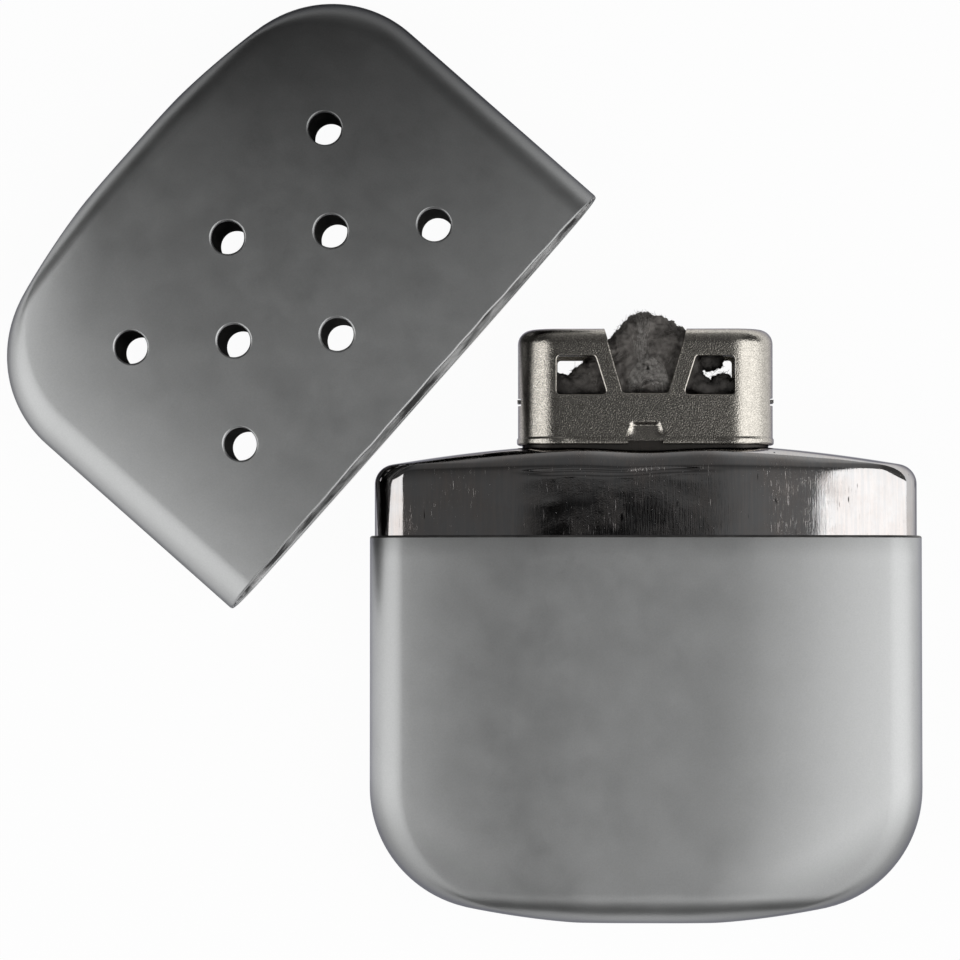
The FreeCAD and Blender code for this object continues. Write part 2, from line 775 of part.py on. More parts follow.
def make_lid_shell():
    """The lid: a drawn cup that slips over the neck, vented through both faces."""
    cup = drawn_cup(
        lid_half_width(),
        lid_half_depth(),
        half_flat(),
        size("lid_height"),
        size("lid_wall"),
        size("lid_corner"),
        size("end_bow"),
        size("lid_edge"),
        size("lid_edge"),
        size("end_land") / 2,
        UP,
    )
    blank = feature("lid_blank", cup, FreeCAD.Placement())
    drills = []
    for number, (across, up) in enumerate(vent_spots(), start=1):
        drill = doc.addObject("Part::Cylinder", f"vent_{number}")
        drill.setExpression("Radius", "Sizes.vent_diameter / 2")
        drill.setExpression("Height", "Sizes.case_depth * 2")
        drill.Placement.Rotation = LAID_DOWN
        drill.setExpression(".Placement.Base.x", f"{across} * Sizes.vent_pitch / 2")
        drill.setExpression(".Placement.Base.y", "-Sizes.case_depth")
        drill.setExpression(".Placement.Base.z", f"Sizes.vent_centre + {up} * Sizes.vent_row_gap")
        drills.append(drill)
    pattern = doc.addObject("Part::MultiFuse", "vent_pattern")
    pattern.Shapes = drills
    lid = doc.addObject("Part::Cut", "lid_shell")
    lid.Base = blank
    lid.Tool = pattern
    lid.Placement = lid_placement()
    return lid


# ---------------------------------------------------------------- the whole


def build():
    parts = [
        make_outer_case(),
        make_tank_top(),
        make_seam_solder(),
        make_filler_neck(),
        make_fuel_wadding(),
        make_wick_felt(),
        make_burner_frame(),
        make_burner_retainer(),
        make_burner_gauze(),
        make_catalyst_wool(),
        make_lid_shell(),
    ]
    doc.recompute()
    for thing in doc.Objects:
        if "Invalid" in thing.State or "Error" in thing.State:
            raise RuntimeError(f"{thing.Label} failed: {thing.State}")
    for part in parts:
        shape = part.Shape
        if shape.isNull() or not shape.isValid() or len(shape.Solids) != 1:
            raise RuntimeError(f"{part.Label}: {len(shape.Solids)} solids, valid {shape.isValid()}")
    return parts


def export(parts):
    os.makedirs("parts", exist_ok=True)
    for part in parts:
        part.Shape.exportStep(f"parts/{part.Label}.step")
        box = part.Shape.BoundBox
        low = f"{box.XMin:8.2f} {box.YMin:8.2f} {box.ZMin:8.2f}"
        high = f"{box.XMax:8.2f} {box.YMax:8.2f} {box.ZMax:8.2f}"
        print(f"{part.Label:16s} {part.Shape.Volume:10.1f} mm3   {low}   {high}")


export(build())
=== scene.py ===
import bisect
import itertools
import math
import random

import bpy
import mathutils.noise
from mathutils import Matrix, Vector
from mathutils.bvhtree import BVHTree


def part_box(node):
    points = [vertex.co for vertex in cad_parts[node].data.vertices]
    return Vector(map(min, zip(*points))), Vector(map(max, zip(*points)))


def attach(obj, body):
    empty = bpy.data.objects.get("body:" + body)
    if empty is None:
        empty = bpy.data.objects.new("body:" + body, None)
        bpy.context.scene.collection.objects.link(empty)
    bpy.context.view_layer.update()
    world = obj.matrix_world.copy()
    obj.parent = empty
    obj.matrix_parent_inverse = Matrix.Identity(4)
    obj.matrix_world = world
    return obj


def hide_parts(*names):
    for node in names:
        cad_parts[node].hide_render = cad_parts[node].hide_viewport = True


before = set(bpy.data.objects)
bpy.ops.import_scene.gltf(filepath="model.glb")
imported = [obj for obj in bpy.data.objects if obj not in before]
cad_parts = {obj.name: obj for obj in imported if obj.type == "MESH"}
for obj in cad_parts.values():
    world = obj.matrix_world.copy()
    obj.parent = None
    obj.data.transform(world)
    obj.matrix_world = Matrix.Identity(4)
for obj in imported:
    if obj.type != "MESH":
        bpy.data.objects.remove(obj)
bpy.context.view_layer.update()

# Everything is in metres, in the row frame: +X to the right, +Y along the tank towards the burner,
# +Z up from the floor. Drawn shells are described in a laid frame of their own: x across, a along
# the shell from its mouth towards its closed end, and up, from the middle of its thickness.

MM = 0.001

# -------- sizes read from the frame

CASE_LOW, CASE_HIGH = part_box("outer_case")
LIP = CASE_HIGH.y
CASE_LENGTH = CASE_HIGH.y - CASE_LOW.y
CASE_HALF_WIDTH = 34 * MM
CASE_HALF_DEPTH = 7 * MM
CASE_HALVES = (CASE_HALF_WIDTH, CASE_HALF_DEPTH)
MID_HEIGHT = CASE_HALF_DEPTH
CASE_WALL = 0.6 * MM

TOP_LOW, TOP_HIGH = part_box("tank_top")
TOP_LENGTH = TOP_HIGH.y - TOP_LOW.y
TOP_HALF_WIDTH = CASE_HALF_WIDTH - CASE_WALL
TOP_HALF_DEPTH = CASE_HALF_DEPTH - CASE_WALL

NECK_HALF_WIDTH = 15.15 * MM
NECK_HALF_DEPTH = 4.65 * MM
NECK_CORNER = 4.05 * MM

FRAME_LOW, FRAME_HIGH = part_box("burner_frame")
FRAME_FOOT = FRAME_LOW.y
FRAME_HEIGHT = FRAME_HIGH.y - FRAME_LOW.y
FRAME_HALF_WIDTH = 15.7 * MM
FRAME_HALF_DEPTH = 5.5 * MM
FRAME_SHEET = 0.5 * MM

LID_LENGTH = 46.8 * MM
LID_WALL = 0.5 * MM
LID_TURN = math.radians(48.5)
LID_LEFT = 28.5 * MM
LID_AHEAD = 16.4 * MM
LID_MOUTH = Vector((-LID_LEFT, LIP + LID_AHEAD, MID_HEIGHT))

# the oval section and the roundings that the drawn shells share
FLAT_HALF = 9 * MM
FACE_LEAN = math.radians(10)
END_BOW = 113 * MM
END_LAND = 10 * MM
END_EDGE = 3.8 * MM
CASE_CORNER = 15 * MM
LID_CORNER = 14.4 * MM


# -------- meshes


def linked_object(name, data):
    thing = bpy.data.objects.new(name, data)
    bpy.context.scene.collection.objects.link(thing)
    return thing


def loose_mesh(name, points, faces, *materials):
    """A smooth mesh object; on its own, it is only used to cut others."""
    mesh = bpy.data.meshes.new(name)
    mesh.from_pydata([tuple(p) for p in points], [], faces)
    mesh.validate()
    for material in materials:
        mesh.materials.append(material)
    mesh.polygons.foreach_set("use_smooth", [True] * len(mesh.polygons))
    return linked_object(name, mesh)


def mesh_object(name, points, faces, materials, body, face_materials=None):
    """A mesh that rides on a body and takes its finish from a material slot."""
    thing = loose_mesh(name, points, faces, *materials)
    if face_materials is not None:
        thing.data.polygons.foreach_set("material_index", face_materials)
    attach(thing, body)
    return thing


FLAT_STEPS = 6
SLOW_STEPS = 18
EDGE_STEPS = 18


def oval_quarter(half_width, half_depth, flat):
    """From the middle of the front round to the end: a flat, a slow arc and half an edge arc."""
    share = (1 - math.sin(FACE_LEAN)) / math.cos(FACE_LEAN)
    slope = math.sin(FACE_LEAN) - share * (1 - math.cos(FACE_LEAN))
    slow = (half_width - flat - share * half_depth) / slope
    edge = (half_depth - slow * (1 - math.cos(FACE_LEAN))) / math.cos(FACE_LEAN)
    points = [(flat * i / FLAT_STEPS, half_depth) for i in range(FLAT_STEPS)]
    for i in range(SLOW_STEPS):
        lean = FACE_LEAN * i / SLOW_STEPS
        points.append((flat + slow * math.sin(lean), half_depth - slow * (1 - math.cos(lean))))
    for i in range(EDGE_STEPS + 1):
        lean = FACE_LEAN + (math.pi / 2 - FACE_LEAN) * i / EDGE_STEPS
        points.append((half_width - edge * (1 - math.sin(lean)), edge * math.cos(lean)))
    return points


def mirrored(quarter):
    """A closed ring from one quarter, starting at the middle of the front."""
    right = quarter + [(x, -up) for x, up in quarter[-2::-1]]
    left = [(-x, up) for x, up in right[-2:0:-1]]
    return right + left


def oval_ring(half_width, half_depth, flat, along):
    return [(x, along, up) for x, up in mirrored(oval_quarter(half_width, half_depth, flat))]


class DrawnShape:
    """The outside of a drawn cup: half sizes, length from the mouth, and its end's roundings.

    The edge's inset, which comes last, is the edge's own size where it isn't given.
    """

    def __init__(self, half_width, half_depth, length, corner, bow, edge, land, inset=None):
        self.half_width, self.half_depth, self.length = half_width, half_depth, length
        self.corner, self.bow, self.edge = corner, bow, edge
        self.edge_inset = inset or edge
        self.sizes = (half_width, half_depth, length, corner, bow, edge, land, self.edge_inset)
        self.cap = bow - math.sqrt(bow**2 - land**2)
        self.corner_x = half_width - corner
        self.corner_start = bow - math.sqrt((bow - corner) ** 2 - self.corner_x**2) - self.cap
        self.bow_end = bow - (bow - self.corner_start - self.cap) * bow / (bow - corner) - self.cap

    def inset(self, wall):
        """The same shape, a wall's thickness inside."""
        return DrawnShape(*(size - wall for size in self.sizes))

    def width_at(self, depth):
        """Half width at a depth below the closed end."""
        if depth < self.bow_end:
            return math.sqrt(self.bow**2 - (self.bow - self.cap - depth) ** 2)
        return self.corner_x + math.sqrt(max(self.corner**2 - (self.corner_start - depth) ** 2, 0))

    def depth_at(self, depth):
        """Half depth at a depth below the closed end."""
        if depth >= self.edge:
            return self.half_depth
        rise = 1 - depth / self.edge
        return self.half_depth - self.edge_inset * (1 - math.sqrt(1 - rise**2))

    def ring(self, depth):
        wide = self.width_at(depth)
        flat = FLAT_HALF * wide / self.half_width
        return oval_ring(wide, self.depth_at(depth), flat, self.length - depth)

    def rings(self, start, straight_steps, end_steps):
        """Rings from a distance above the mouth to the closed end's land."""
        straight_end = self.length - self.corner_start
        rows = []
        for i in range(straight_steps):
            along = start + (straight_end - start) * i / straight_steps
            rows.append(oval_ring(self.half_width, self.half_depth, FLAT_HALF, along))
        for i in range(end_steps, -1, -1):
            depth = self.corner_start * (1 - math.cos(math.pi / 2 * i / end_steps))
            rows.append(self.ring(depth))
        return rows


def full_turn(steps):
    """Evenly spaced angles round a ring."""
    return [2 * math.pi * i / steps for i in range(steps)]


def rolled(radius, steps):
    """A quarter circle's distances from the two flats that it joins."""
    turns = [math.pi / 2 * i / steps for i in range(steps + 1)]
    return [(radius * (1 - math.sin(turn)), radius * (1 - math.cos(turn))) for turn in turns]


def bands(first, count, size, flip):
    """Quads between rings that follow one another; flip turns them over."""
    faces = []
    for row in range(count - 1):
        base = first + row * size
        for i in range(size):
            after = (i + 1) % size
            face = [base + i, base + after, base + size + after, base + size + i]
            faces.append(face[::-1] if flip else face)
    return faces


def turned_over(faces):
    return [face[::-1] for face in faces]


def closed_tube(count, size, flip):
    """The faces of a tube of several rings, with one face over each of its ends."""
    last = (count - 1) * size
    ends = [list(range(size))[::-1], list(range(last, last + size))]
    return bands(0, count, size, flip) + (turned_over(ends) if flip else ends)


def end_cap(first, size, flip):
    """Strips across a ring, from each point of the front to the one behind it."""
    half = size // 2
    strips = {}
    for i in range(size):
        after = (i + 1) % size
        strip = list(dict.fromkeys([i, after, (half - after) % size, (half - i) % size]))
        if len(strip) > 2:
            strips.setdefault(frozenset(strip), strip)
    return [[first + i for i in (strip[::-1] if flip else strip)] for strip in strips.values()]


LIP_STEPS = 8
# faces inside a shell deeper than this from its mouth take the dark inside finish, painted shade
INSIDE_SHADE_REACH = 9 * MM
WAVE_REACH = 1.5 * MM
WAVE_SCALE = 330


def drawn_cup(shape, wall, straight_steps, end_steps, mouth_kind=0, wave=0.0, bright_rows=0):
    """Points, faces and each face's material number of a drawn cup with a rounded lip.

    Material 0 is the outside and 1 the inside, painted dark as shade past a reach from the mouth.
    mouth_kind is the material inside the mouth before that reach, wave is how far the front of the
    trimmed lip wanders, and the first bright_rows of its rounding are plated as the outside is; the
    rest of the rounding's front half takes material 1, a painted shade line along the lip.
    """
    lip = wall / 2
    outside = shape.rings(lip, straight_steps, end_steps)
    inside = shape.inset(wall).rings(lip, straight_steps, end_steps)[::-1]
    rounding = []
    for i in range(1, LIP_STEPS):
        turn = math.pi * i / LIP_STEPS
        out = lip * (1 + math.cos(turn)) - wall
        along = lip * (1 - math.sin(turn))
        ring = oval_ring(shape.half_width + out, shape.half_depth + out, FLAT_HALF, along)
        rounding.append(ring)
    size = len(outside[0])
    points = [point for ring in outside + inside + rounding for point in ring]
    inside_first = len(outside) * size
    rounding_first = inside_first + len(inside) * size
    faces = bands(0, len(outside), size, False)
    faces += end_cap((len(outside) - 1) * size, size, False)
    outside_count = len(faces)
    faces += end_cap(inside_first, size, True)
    faces += bands(inside_first, len(inside), size, False)
    last_inside = rounding_first - size
    lip_rows = [0] + [rounding_first + i * size for i in range(len(rounding))] + [last_inside]
    for low, high in zip(lip_rows, lip_rows[1:]):
        for i in range(size):
            after = (i + 1) % size
            faces.append([low + i, high + i, high + after, low + after])
    worn = []
    for x, along, up in points:
        near = max(0.0, 1 - along / WAVE_REACH)
        wander = 0.5 + mathutils.noise.noise(Vector((x, up, 0)) * WAVE_SCALE)
        worn.append((x, along + (wave * near * wander if up > 0 else 0.0), up))
    lip_first = len(faces) - (len(lip_rows) - 1) * size
    # painted shade: the inside past the reach, and the lip's front half past its bright rows, take
    # material 1
    kinds = [0] * outside_count
    for number, face in enumerate(faces[outside_count:], outside_count):
        if number < lip_first:
            kinds.append(1 if max(points[i][1] for i in face) > INSIDE_SHADE_REACH else mouth_kind)
        else:
            painted_shade_row = (number - lip_first) // size >= bright_rows
            kinds.append(int(painted_shade_row and min(points[i][2] for i in face) > 0))
    return worn, faces, kinds


def laid_on_body(points, foot, way):
    """Points of the laid frame, put on the tank's axis: foot is where along is zero."""
    return [Vector((x, foot + way * along, MID_HEIGHT + up)) for x, along, up in points]


def laid_on_frame(points):
    """Points of the laid frame, put on the burner's foot."""
    return laid_on_body(points, FRAME_FOOT, 1)


def laid_on_lid(points):
    """Points of the laid frame, put where the lid lies."""
    turn = Matrix.Rotation(LID_TURN, 3, "Z")
    return [LID_MOUTH + turn @ Vector(p) for p in points]


def settle(thing):
    """Applies the modifiers of a piece to its mesh."""
    bpy.context.view_layer.update()
    graph = bpy.context.evaluated_depsgraph_get()
    mesh = bpy.data.meshes.new_from_object(thing.evaluated_get(graph), depsgraph=graph)
    thing.modifiers.clear()
    thing.data = mesh


def carve(thing, cutter):
    """Cuts the cutter's solids out of a piece and deletes the cutter."""
    cut = thing.modifiers.new("cut", "BOOLEAN")
    cut.operation = "DIFFERENCE"
    cut.solver = "MANIFOLD"
    cut.object = cutter
    settle(thing)
    bpy.data.objects.remove(cutter)


LARGE_FACE_WEIGHT = 60


def even_normals(thing, sharp_degrees):
    """Smooth shading that keeps large faces flat beside small rounded edges."""
    thing.data.set_sharp_from_angle(angle=math.radians(sharp_degrees))
    weigh = thing.modifiers.new("even_normals", "WEIGHTED_NORMAL")
    weigh.keep_sharp = True
    weigh.weight = LARGE_FACE_WEIGHT
    settle(thing)


def prism(outline, low, high):
    """Closed prism over an outline of (x, along) points, from low to high in the up direction."""
    count = len(outline)
    points = [(x, along, low) for x, along in outline] + [(x, along, high) for x, along in outline]
    sides = [[i, (i + 1) % count, count + (i + 1) % count, count + i] for i in range(count)]
    return points, [list(range(count))[::-1], list(range(count, 2 * count))] + sides


def joined(pieces):
    """One list of points and one of faces from several pairs."""
    points = []
    faces = []
    for some_points, some_faces in pieces:
        faces += [[len(points) + i for i in face] for face in some_faces]
        points += some_points
    return points, faces


# -------- materials


def feed(owner, value, socket):
    """Puts a number, or another node's output, into an input."""
    if isinstance(value, bpy.types.NodeSocket):
        owner.node_tree.links.new(value, socket)
    else:
        socket.default_value = value


def set_inputs(owner, node, **values):
    """Gives a node its settings and inputs, numbers or other nodes' outputs; returns its owner."""
    for key, value in values.items():
        socket = node.inputs.get(key.replace("_", " "))
        if socket is None:
            setattr(node, key, value)
        else:
            feed(owner, value, socket)
    return owner


def add_node(owner, kind, **values):
    """A new node of a material or the world."""
    node = owner.node_tree.nodes.new("ShaderNode" + kind)
    set_inputs(owner, node, **values)
    return node


def node_material(name):
    material = bpy.data.materials.new(name)
    material.use_nodes = True
    return material


def new_material(name, metallic, roughness, color, edge_tint=(1, 1, 1, 1)):
    """A node material and its shader, where numbers that are the same all over are set."""
    material = node_material(name)
    shader = material.node_tree.nodes["Principled BSDF"]
    uniform = {"Metallic": metallic, "Roughness": roughness, "Base_Color": (*color, 1)}
    set_inputs(material, shader, **uniform, Specular_Tint=edge_tint)
    return material, shader


def object_place(owner, stretch=(1, 1, 1), turn=0, kind="POINT"):
    """The point's place in metres, stretched for a grain that runs one way."""
    place = add_node(owner, "TexCoord").outputs["Object"]
    values = {"Vector": place, "Scale": stretch, "Rotation": (0, 0, turn), "vector_type": kind}
    return add_node(owner, "Mapping", **values).outputs["Vector"]


def noise(owner, grain, squeeze=1, place=None):
    """A noise, squeezed up the tank; its grain is a scale, a detail and a roughness."""
    if place is None:
        place = object_place(owner, (1, squeeze, 1))
    values = dict(zip(("Scale", "Detail", "Roughness"), grain))
    return add_node(owner, "TexNoise", Vector=place, **values).outputs["Fac"]


def ramp(owner, source, ends, tones):
    """A colour ramp from one tone to another, between two ends."""
    node = add_node(owner, "ValToRGB", Fac=source)
    for stop, end, tone in zip(node.color_ramp.elements, ends, tones):
        stop.position = end
        stop.color = (*tone, 1)
    return node.outputs["Color"]


def layer(owner, grain, squeeze, ends, tones):
    """A noise seen through a ramp."""
    return ramp(owner, noise(owner, grain, squeeze), ends, tones)


def calculated(owner, operation, *values):
    """A math node's result; each value is a number or another node's output."""
    node = add_node(owner, "Math", operation=operation)
    for socket, value in zip(node.inputs, values):
        feed(owner, value, socket)
    return node.outputs[0]


def multiplied(owner, first, *others):
    """Colours multiplied with each other."""
    for other in others:
        mix = {"data_type": "RGBA", "blend_type": "MULTIPLY", "Factor": 1}
        node = add_node(owner, "Mix", **mix)
        feed(owner, first, node.inputs[6])
        feed(owner, other, node.inputs[7])
        first = node.outputs[2]
    return first


def eased(owner, value, ends, levels):
    """A smooth change between two levels, as a value goes from one end to the other."""
    reach = {"From_Min": ends[0], "From_Max": ends[1], "To_Min": levels[0], "To_Max": levels[1]}
    node = add_node(owner, "MapRange", interpolation_type="SMOOTHSTEP", **reach)
    set_inputs(owner, node, Value=value)
    return node.outputs["Result"]


def bumped(owner, height, strength, distance, **under):
    """A bump's normal, on top of another normal if one is given."""
    values = {"Height": height, "Strength": strength, "Distance": distance}
    return add_node(owner, "Bump", **values, **under).outputs["Normal"]


def grey(value):
    return (value, value, value)


def shades(color, *factors):
    return [tuple(part * factor for part in color) for factor in factors]


def share_by_distance(owner, centre, near, far):
    """A smooth change between two shares; near and far are each a distance and its share."""
    away = add_node(owner, "VectorMath", operation="DISTANCE")
    feed(owner, object_place(owner), away.inputs[0])
    feed(owner, centre, away.inputs[1])
    return eased(owner, away.outputs["Value"], (near[0], far[0]), (near[1], far[1]))


# the colour that plating takes in grazing light
EDGE_TINT = (0.35, 0.35, 0.42, 1)
LID_EDGE_TINT = (0.1, 0.1, 0.13, 1)
POLISH_EDGE_TINT = (0.24, 0.24, 0.28, 1)

# grains: scale, detail and roughness; with a squeeze up the tank; with a ramp's ends and tones
MIDDLE = (0.3, 0.7)
SATIN_CLOUDS = (230, 6, 0.65)
SATIN_TONES = (0.97, 1.03)
SATIN_ROUGHNESS = (0.375, 0.395, 0.415)
SATIN_SPECKLE = (5200, 3, 0.7)
SPECKLE_RAMP = ((0.25, 0.75), (grey(0.88), grey(1)))
PLATE_GRAIN = (5600, 2, 0.6)
PLATE_STAINS = (1500, 6, 0.75)
PLATE_TONES = (0.85, 1.12)
PLATE_SPARKLE = ((6400, 1, 0.5), 1, (0.32, 0.68), (grey(0.66), grey(1)))
SHELL_STAINS = (300, 5, 0.5)
MOUTH_STAINS_AND_SHADE = (900, 5, 0.5)
FIBRE_PATCHES = (6, 0.6)
FIBRE_STRANDS = (3, 0.5)
# a strand's grain is this many times finer than the patches of its fibre
STRAND_FINER = 9
POLISH_PATCHES = (210, 5, 0.65)
POLISH_WORN = ((0.45, 0.62), (grey(0.12), grey(1)))
POLISH_MARKS = ((8200, 2, 0.6), 0.06, (0.6, 0.74), (grey(0), grey(1)))
POLISH_DOTS = ((4800, 2, 0.6), 1, (0.69, 0.78), (grey(0), grey(0.8)))
POLISH_TINT = ((2900, 3, 0.6), 0.05, (0.4, 0.62), (grey(0.94), (1.03, 1.0, 0.98)))
POLISH_SCUFFS = ((1500, 2, 0.5), 0.16, (0.71, 0.75), (grey(1), grey(0.12)))
POLISH_LINES = ((6800, 2, 0.7), 0.04)
POLISH_GRAIN = (6200, 2, 0.6)
# what marks and haze add to the roughness, and where the haze and the warmer, worn tone lie
MARK_ROUGHNESS = 0.36
HAZE_ROUGHNESS = 0.08
HAZE_ENDS = (0.5, 0.72)
WORN_ENDS = (0.4, 0.66)
WORN_TINT = (0.99, 0.94, 0.91)
FRESH_TONE = 1.03
# each bump: its strength and its height in metres
SATIN_BUMP = (0.3, 0.00002)
LINE_BUMP = (1.0, 0.000002)
MARK_BUMP = (0.12, 0.00001)
PLATE_BUMP = (0.6, 0.00005)
FIBRE_BUMP = (0.6, 0.0001)
FIBRE_ROUGHNESS = 0.95


def satin_metal(name, color, edge_tint, centre, near, far):
    """Satin plating: cloudy tone, a fine speckled grain, and painted shade by distance from a
    centre.

    near and far are a distance from the centre and the colour's share there; a share below 1 is
    painted shade.
    """
    least, usual, most = SATIN_ROUGHNESS
    material, shader = new_material(name, 1.0, usual, color, edge_tint)
    clouds = noise(material, SATIN_CLOUDS)
    speckle = noise(material, SATIN_SPECKLE)
    tone = ramp(material, clouds, MIDDLE, shades(color, *SATIN_TONES))
    shade = ramp(material, speckle, *SPECKLE_RAMP)
    # painted shade: the colour's share changes with distance from the centre
    share = share_by_distance(material, centre, near, far)
    rough = ramp(material, clouds, MIDDLE, (grey(least), grey(most)))
    color = multiplied(material, tone, shade, share)
    bump = bumped(material, speckle, *SATIN_BUMP)
    return set_inputs(material, shader, Base_Color=color, Roughness=rough, Normal=bump)


def stained_shaded_metal(name, dark, light, roughness, grain, ends, drawn=1, turn=0):
    """Inside of a drawn shell: stains and painted shade; drawn stretches them along a turned X."""
    material, shader = new_material(name, 1.0, roughness, dark)
    place = object_place(material, (drawn, 1, 1), turn, "TEXTURE")
    stains_and_shade = ramp(material, noise(material, grain, place=place), ends, (dark, light))
    return set_inputs(material, shader, Base_Color=stains_and_shade)


def polished_metal(name, color, roughness):
    """Bright plating with fine lines along the shell, short scratches, haze and specks."""
    material, shader = new_material(name, 1.0, roughness, color, POLISH_EDGE_TINT)
    patches = noise(material, POLISH_PATCHES)
    worn = ramp(material, patches, *POLISH_WORN)
    marks = calculated(material, "MULTIPLY", layer(material, *POLISH_MARKS), worn)
    marks = calculated(material, "MAXIMUM", marks, layer(material, *POLISH_DOTS))
    hazes = (grey(roughness), grey(roughness + HAZE_ROUGHNESS))
    haze = ramp(material, patches, HAZE_ENDS, hazes)
    rough = calculated(material, "MULTIPLY_ADD", marks, MARK_ROUGHNESS, haze)
    brown = tuple(part * tint for part, tint in zip(color, WORN_TINT))
    tone = ramp(material, patches, WORN_ENDS, (*shades(color, FRESH_TONE), brown))
    tint = layer(material, *POLISH_TINT)
    color = multiplied(material, tone, tint, layer(material, *POLISH_SCUFFS))
    lines = noise(material, *POLISH_LINES)
    relief = calculated(material, "MULTIPLY_ADD", noise(material, POLISH_GRAIN), worn, lines)
    fine = bumped(material, relief, *LINE_BUMP)
    bump = bumped(material, marks, *MARK_BUMP, Normal=fine)
    return set_inputs(material, shader, Base_Color=color, Roughness=rough, Normal=bump)


def grained_metal(name, color, roughness):
    """Plated sheet with a sparkling grain."""
    material, shader = new_material(name, 1.0, roughness, color, EDGE_TINT)
    tone = ramp(material, noise(material, PLATE_STAINS), MIDDLE, shades(color, *PLATE_TONES))
    tone = multiplied(material, tone, layer(material, *PLATE_SPARKLE))
    bump = bumped(material, noise(material, PLATE_GRAIN), *PLATE_BUMP)
    return set_inputs(material, shader, Base_Color=tone, Normal=bump)


def fibre(name, dark, light, scale, behind_sheet_shade=False):
    """Matted fibre: patchy colour, a fine rough surface and, if asked, painted shade off the notch.
    """
    material, shader = new_material(name, 0.0, FIBRE_ROUGHNESS, light)
    tone = ramp(material, noise(material, (scale, *FIBRE_PATCHES)), MIDDLE, (dark, light))
    if behind_sheet_shade:
        # painted shade: darker away from the notch, for the shade behind the housing's sheet
        sheet_shade = share_by_distance(material, WOOL_SHADE_CENTRE, WOOL_SHADE_NEAR, WOOL_SHADE_FAR)
        tone = multiplied(material, tone, sheet_shade)
    strands = noise(material, (scale * STRAND_FINER, *FIBRE_STRANDS))
    bump = bumped(material, strands, *FIBRE_BUMP)
    return set_inputs(material, shader, Base_Color=tone, Normal=bump)


# painted shade: the plating's colour is darker round the lid's far corner and along the case's foot
LID_SHADE_CORNER = LID_MOUTH + Matrix.Rotation(LID_TURN, 3, "Z") @ Vector((54 * MM, 54 * MM, 0))
LID_SHADE_NEAR = (25 * MM, 0.31)
LID_SHADE_FAR = (78 * MM, 1.0)
CASE_MOUTH = Vector((0, LIP, MID_HEIGHT))
CASE_SHADE_NEAR = (43.5 * MM, 1.0)
CASE_SHADE_FAR = (49.5 * MM, 0.58)

# painted shade: the wool is coloured darker behind the windows, where the sheet shades it, than in
# the notch
WOOL_SHADE_CENTRE = Vector((-1.5 * MM, FRAME_FOOT + 11 * MM, MID_HEIGHT))
WOOL_SHADE_NEAR = (6 * MM, 0.84)
WOOL_SHADE_FAR = (11 * MM, 0.3)

SATIN_CASE = satin_metal(
    "satin_case_finish", (0.515, 0.521, 0.52), EDGE_TINT, CASE_MOUTH, CASE_SHADE_NEAR, CASE_SHADE_FAR
)
SATIN_LID = satin_metal(
    "satin_lid_finish", (0.5, 0.506, 0.505), LID_EDGE_TINT, LID_SHADE_CORNER, LID_SHADE_NEAR, LID_SHADE_FAR
)
# painted shade: the shells' insides are coloured nearly black for the shade inside them, with
# stains
SHADED_INSIDE = stained_shaded_metal(
    "inside_painted_shade", grey(0.08), (0.2, 0.195, 0.19), 0.5, SHELL_STAINS, (0.3, 0.75)
)
# a pale plating inside the lid's mouth, with dark and light patches that stand partly for stains
# and partly for painted shade
MOUTH_INSIDE = stained_shaded_metal(
    "lid_mouth_inside", grey(0.16), grey(0.95), 0.66, MOUTH_STAINS_AND_SHADE, (0.42, 0.6), 6, LID_TURN
)
POLISHED = polished_metal("polished_shoulder_finish", (0.56, 0.56, 0.565), 0.045)
# painted shade: the neck is coloured nearly black, so that it reads as the shade in the housing's
# foot notch
NECK_SHADE_PLATING = polished_metal("neck_painted_shade_finish", (0.06, 0.058, 0.055), 0.4)
BURNER_PLATING = grained_metal("burner_plating_finish", (0.64, 0.606, 0.545), 0.17)
RETAINER_STEEL = grained_metal("retainer_steel_finish", (0.35, 0.34, 0.33), 0.35)
GAUZE_WIRE = grained_metal("gauze_wire_finish", (0.3, 0.29, 0.28), 0.4)
SOLDER = grained_metal("solder_finish", (0.5, 0.5, 0.49), 0.45)
WOOL = fibre("catalyst_wool_finish", (0.066, 0.059, 0.053), (0.265, 0.247, 0.23), 650, True)
FIBRES = fibre("catalyst_fibre_finish", (0.11, 0.1, 0.091), (0.36, 0.34, 0.32), 800, True)
TUFT_FIBRES = fibre("catalyst_tuft_finish", (0.24, 0.227, 0.213), (0.68, 0.65, 0.615), 2600, True)
COTTON = fibre("cotton_finish", (0.7, 0.68, 0.62), (0.82, 0.8, 0.75), 400)
FELT = fibre("felt_finish", (0.5, 0.47, 0.42), (0.66, 0.63, 0.57), 900)


# -------- pieces


def finish_nodes():
    """Gives the CAD nodes that stay in view their materials."""
    finishes = {
        "filler_neck": NECK_SHADE_PLATING,
        "burner_retainer": RETAINER_STEEL,
        "burner_gauze": GAUZE_WIRE,
        "seam_solder": SOLDER,
        "fuel_wadding": COTTON,
        "wick_felt": FELT,
    }
    for name, material in finishes.items():
        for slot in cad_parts[name].material_slots:
            slot.material = material


# rows of mesh along the straight part and over the closed end
CASE_ROWS = (12, 40)
TOP_ROWS = (24, 56)
LID_ROWS = (16, 40)
# edges sharper than this many degrees stay sharp
SHOULDER_SHARP = 35
SHEET_SHARP = 10


def make_case():
    shape = DrawnShape(*CASE_HALVES, CASE_LENGTH, CASE_CORNER, END_BOW, END_EDGE, END_LAND)
    points, faces, kinds = drawn_cup(shape, CASE_WALL, *CASE_ROWS)
    placed = laid_on_body(points, LIP, -1)
    case = mesh_object(
        "case_shell", placed, turned_over(faces), [SATIN_CASE, SHADED_INSIDE], "tank", kinds
    )
    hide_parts("outer_case")


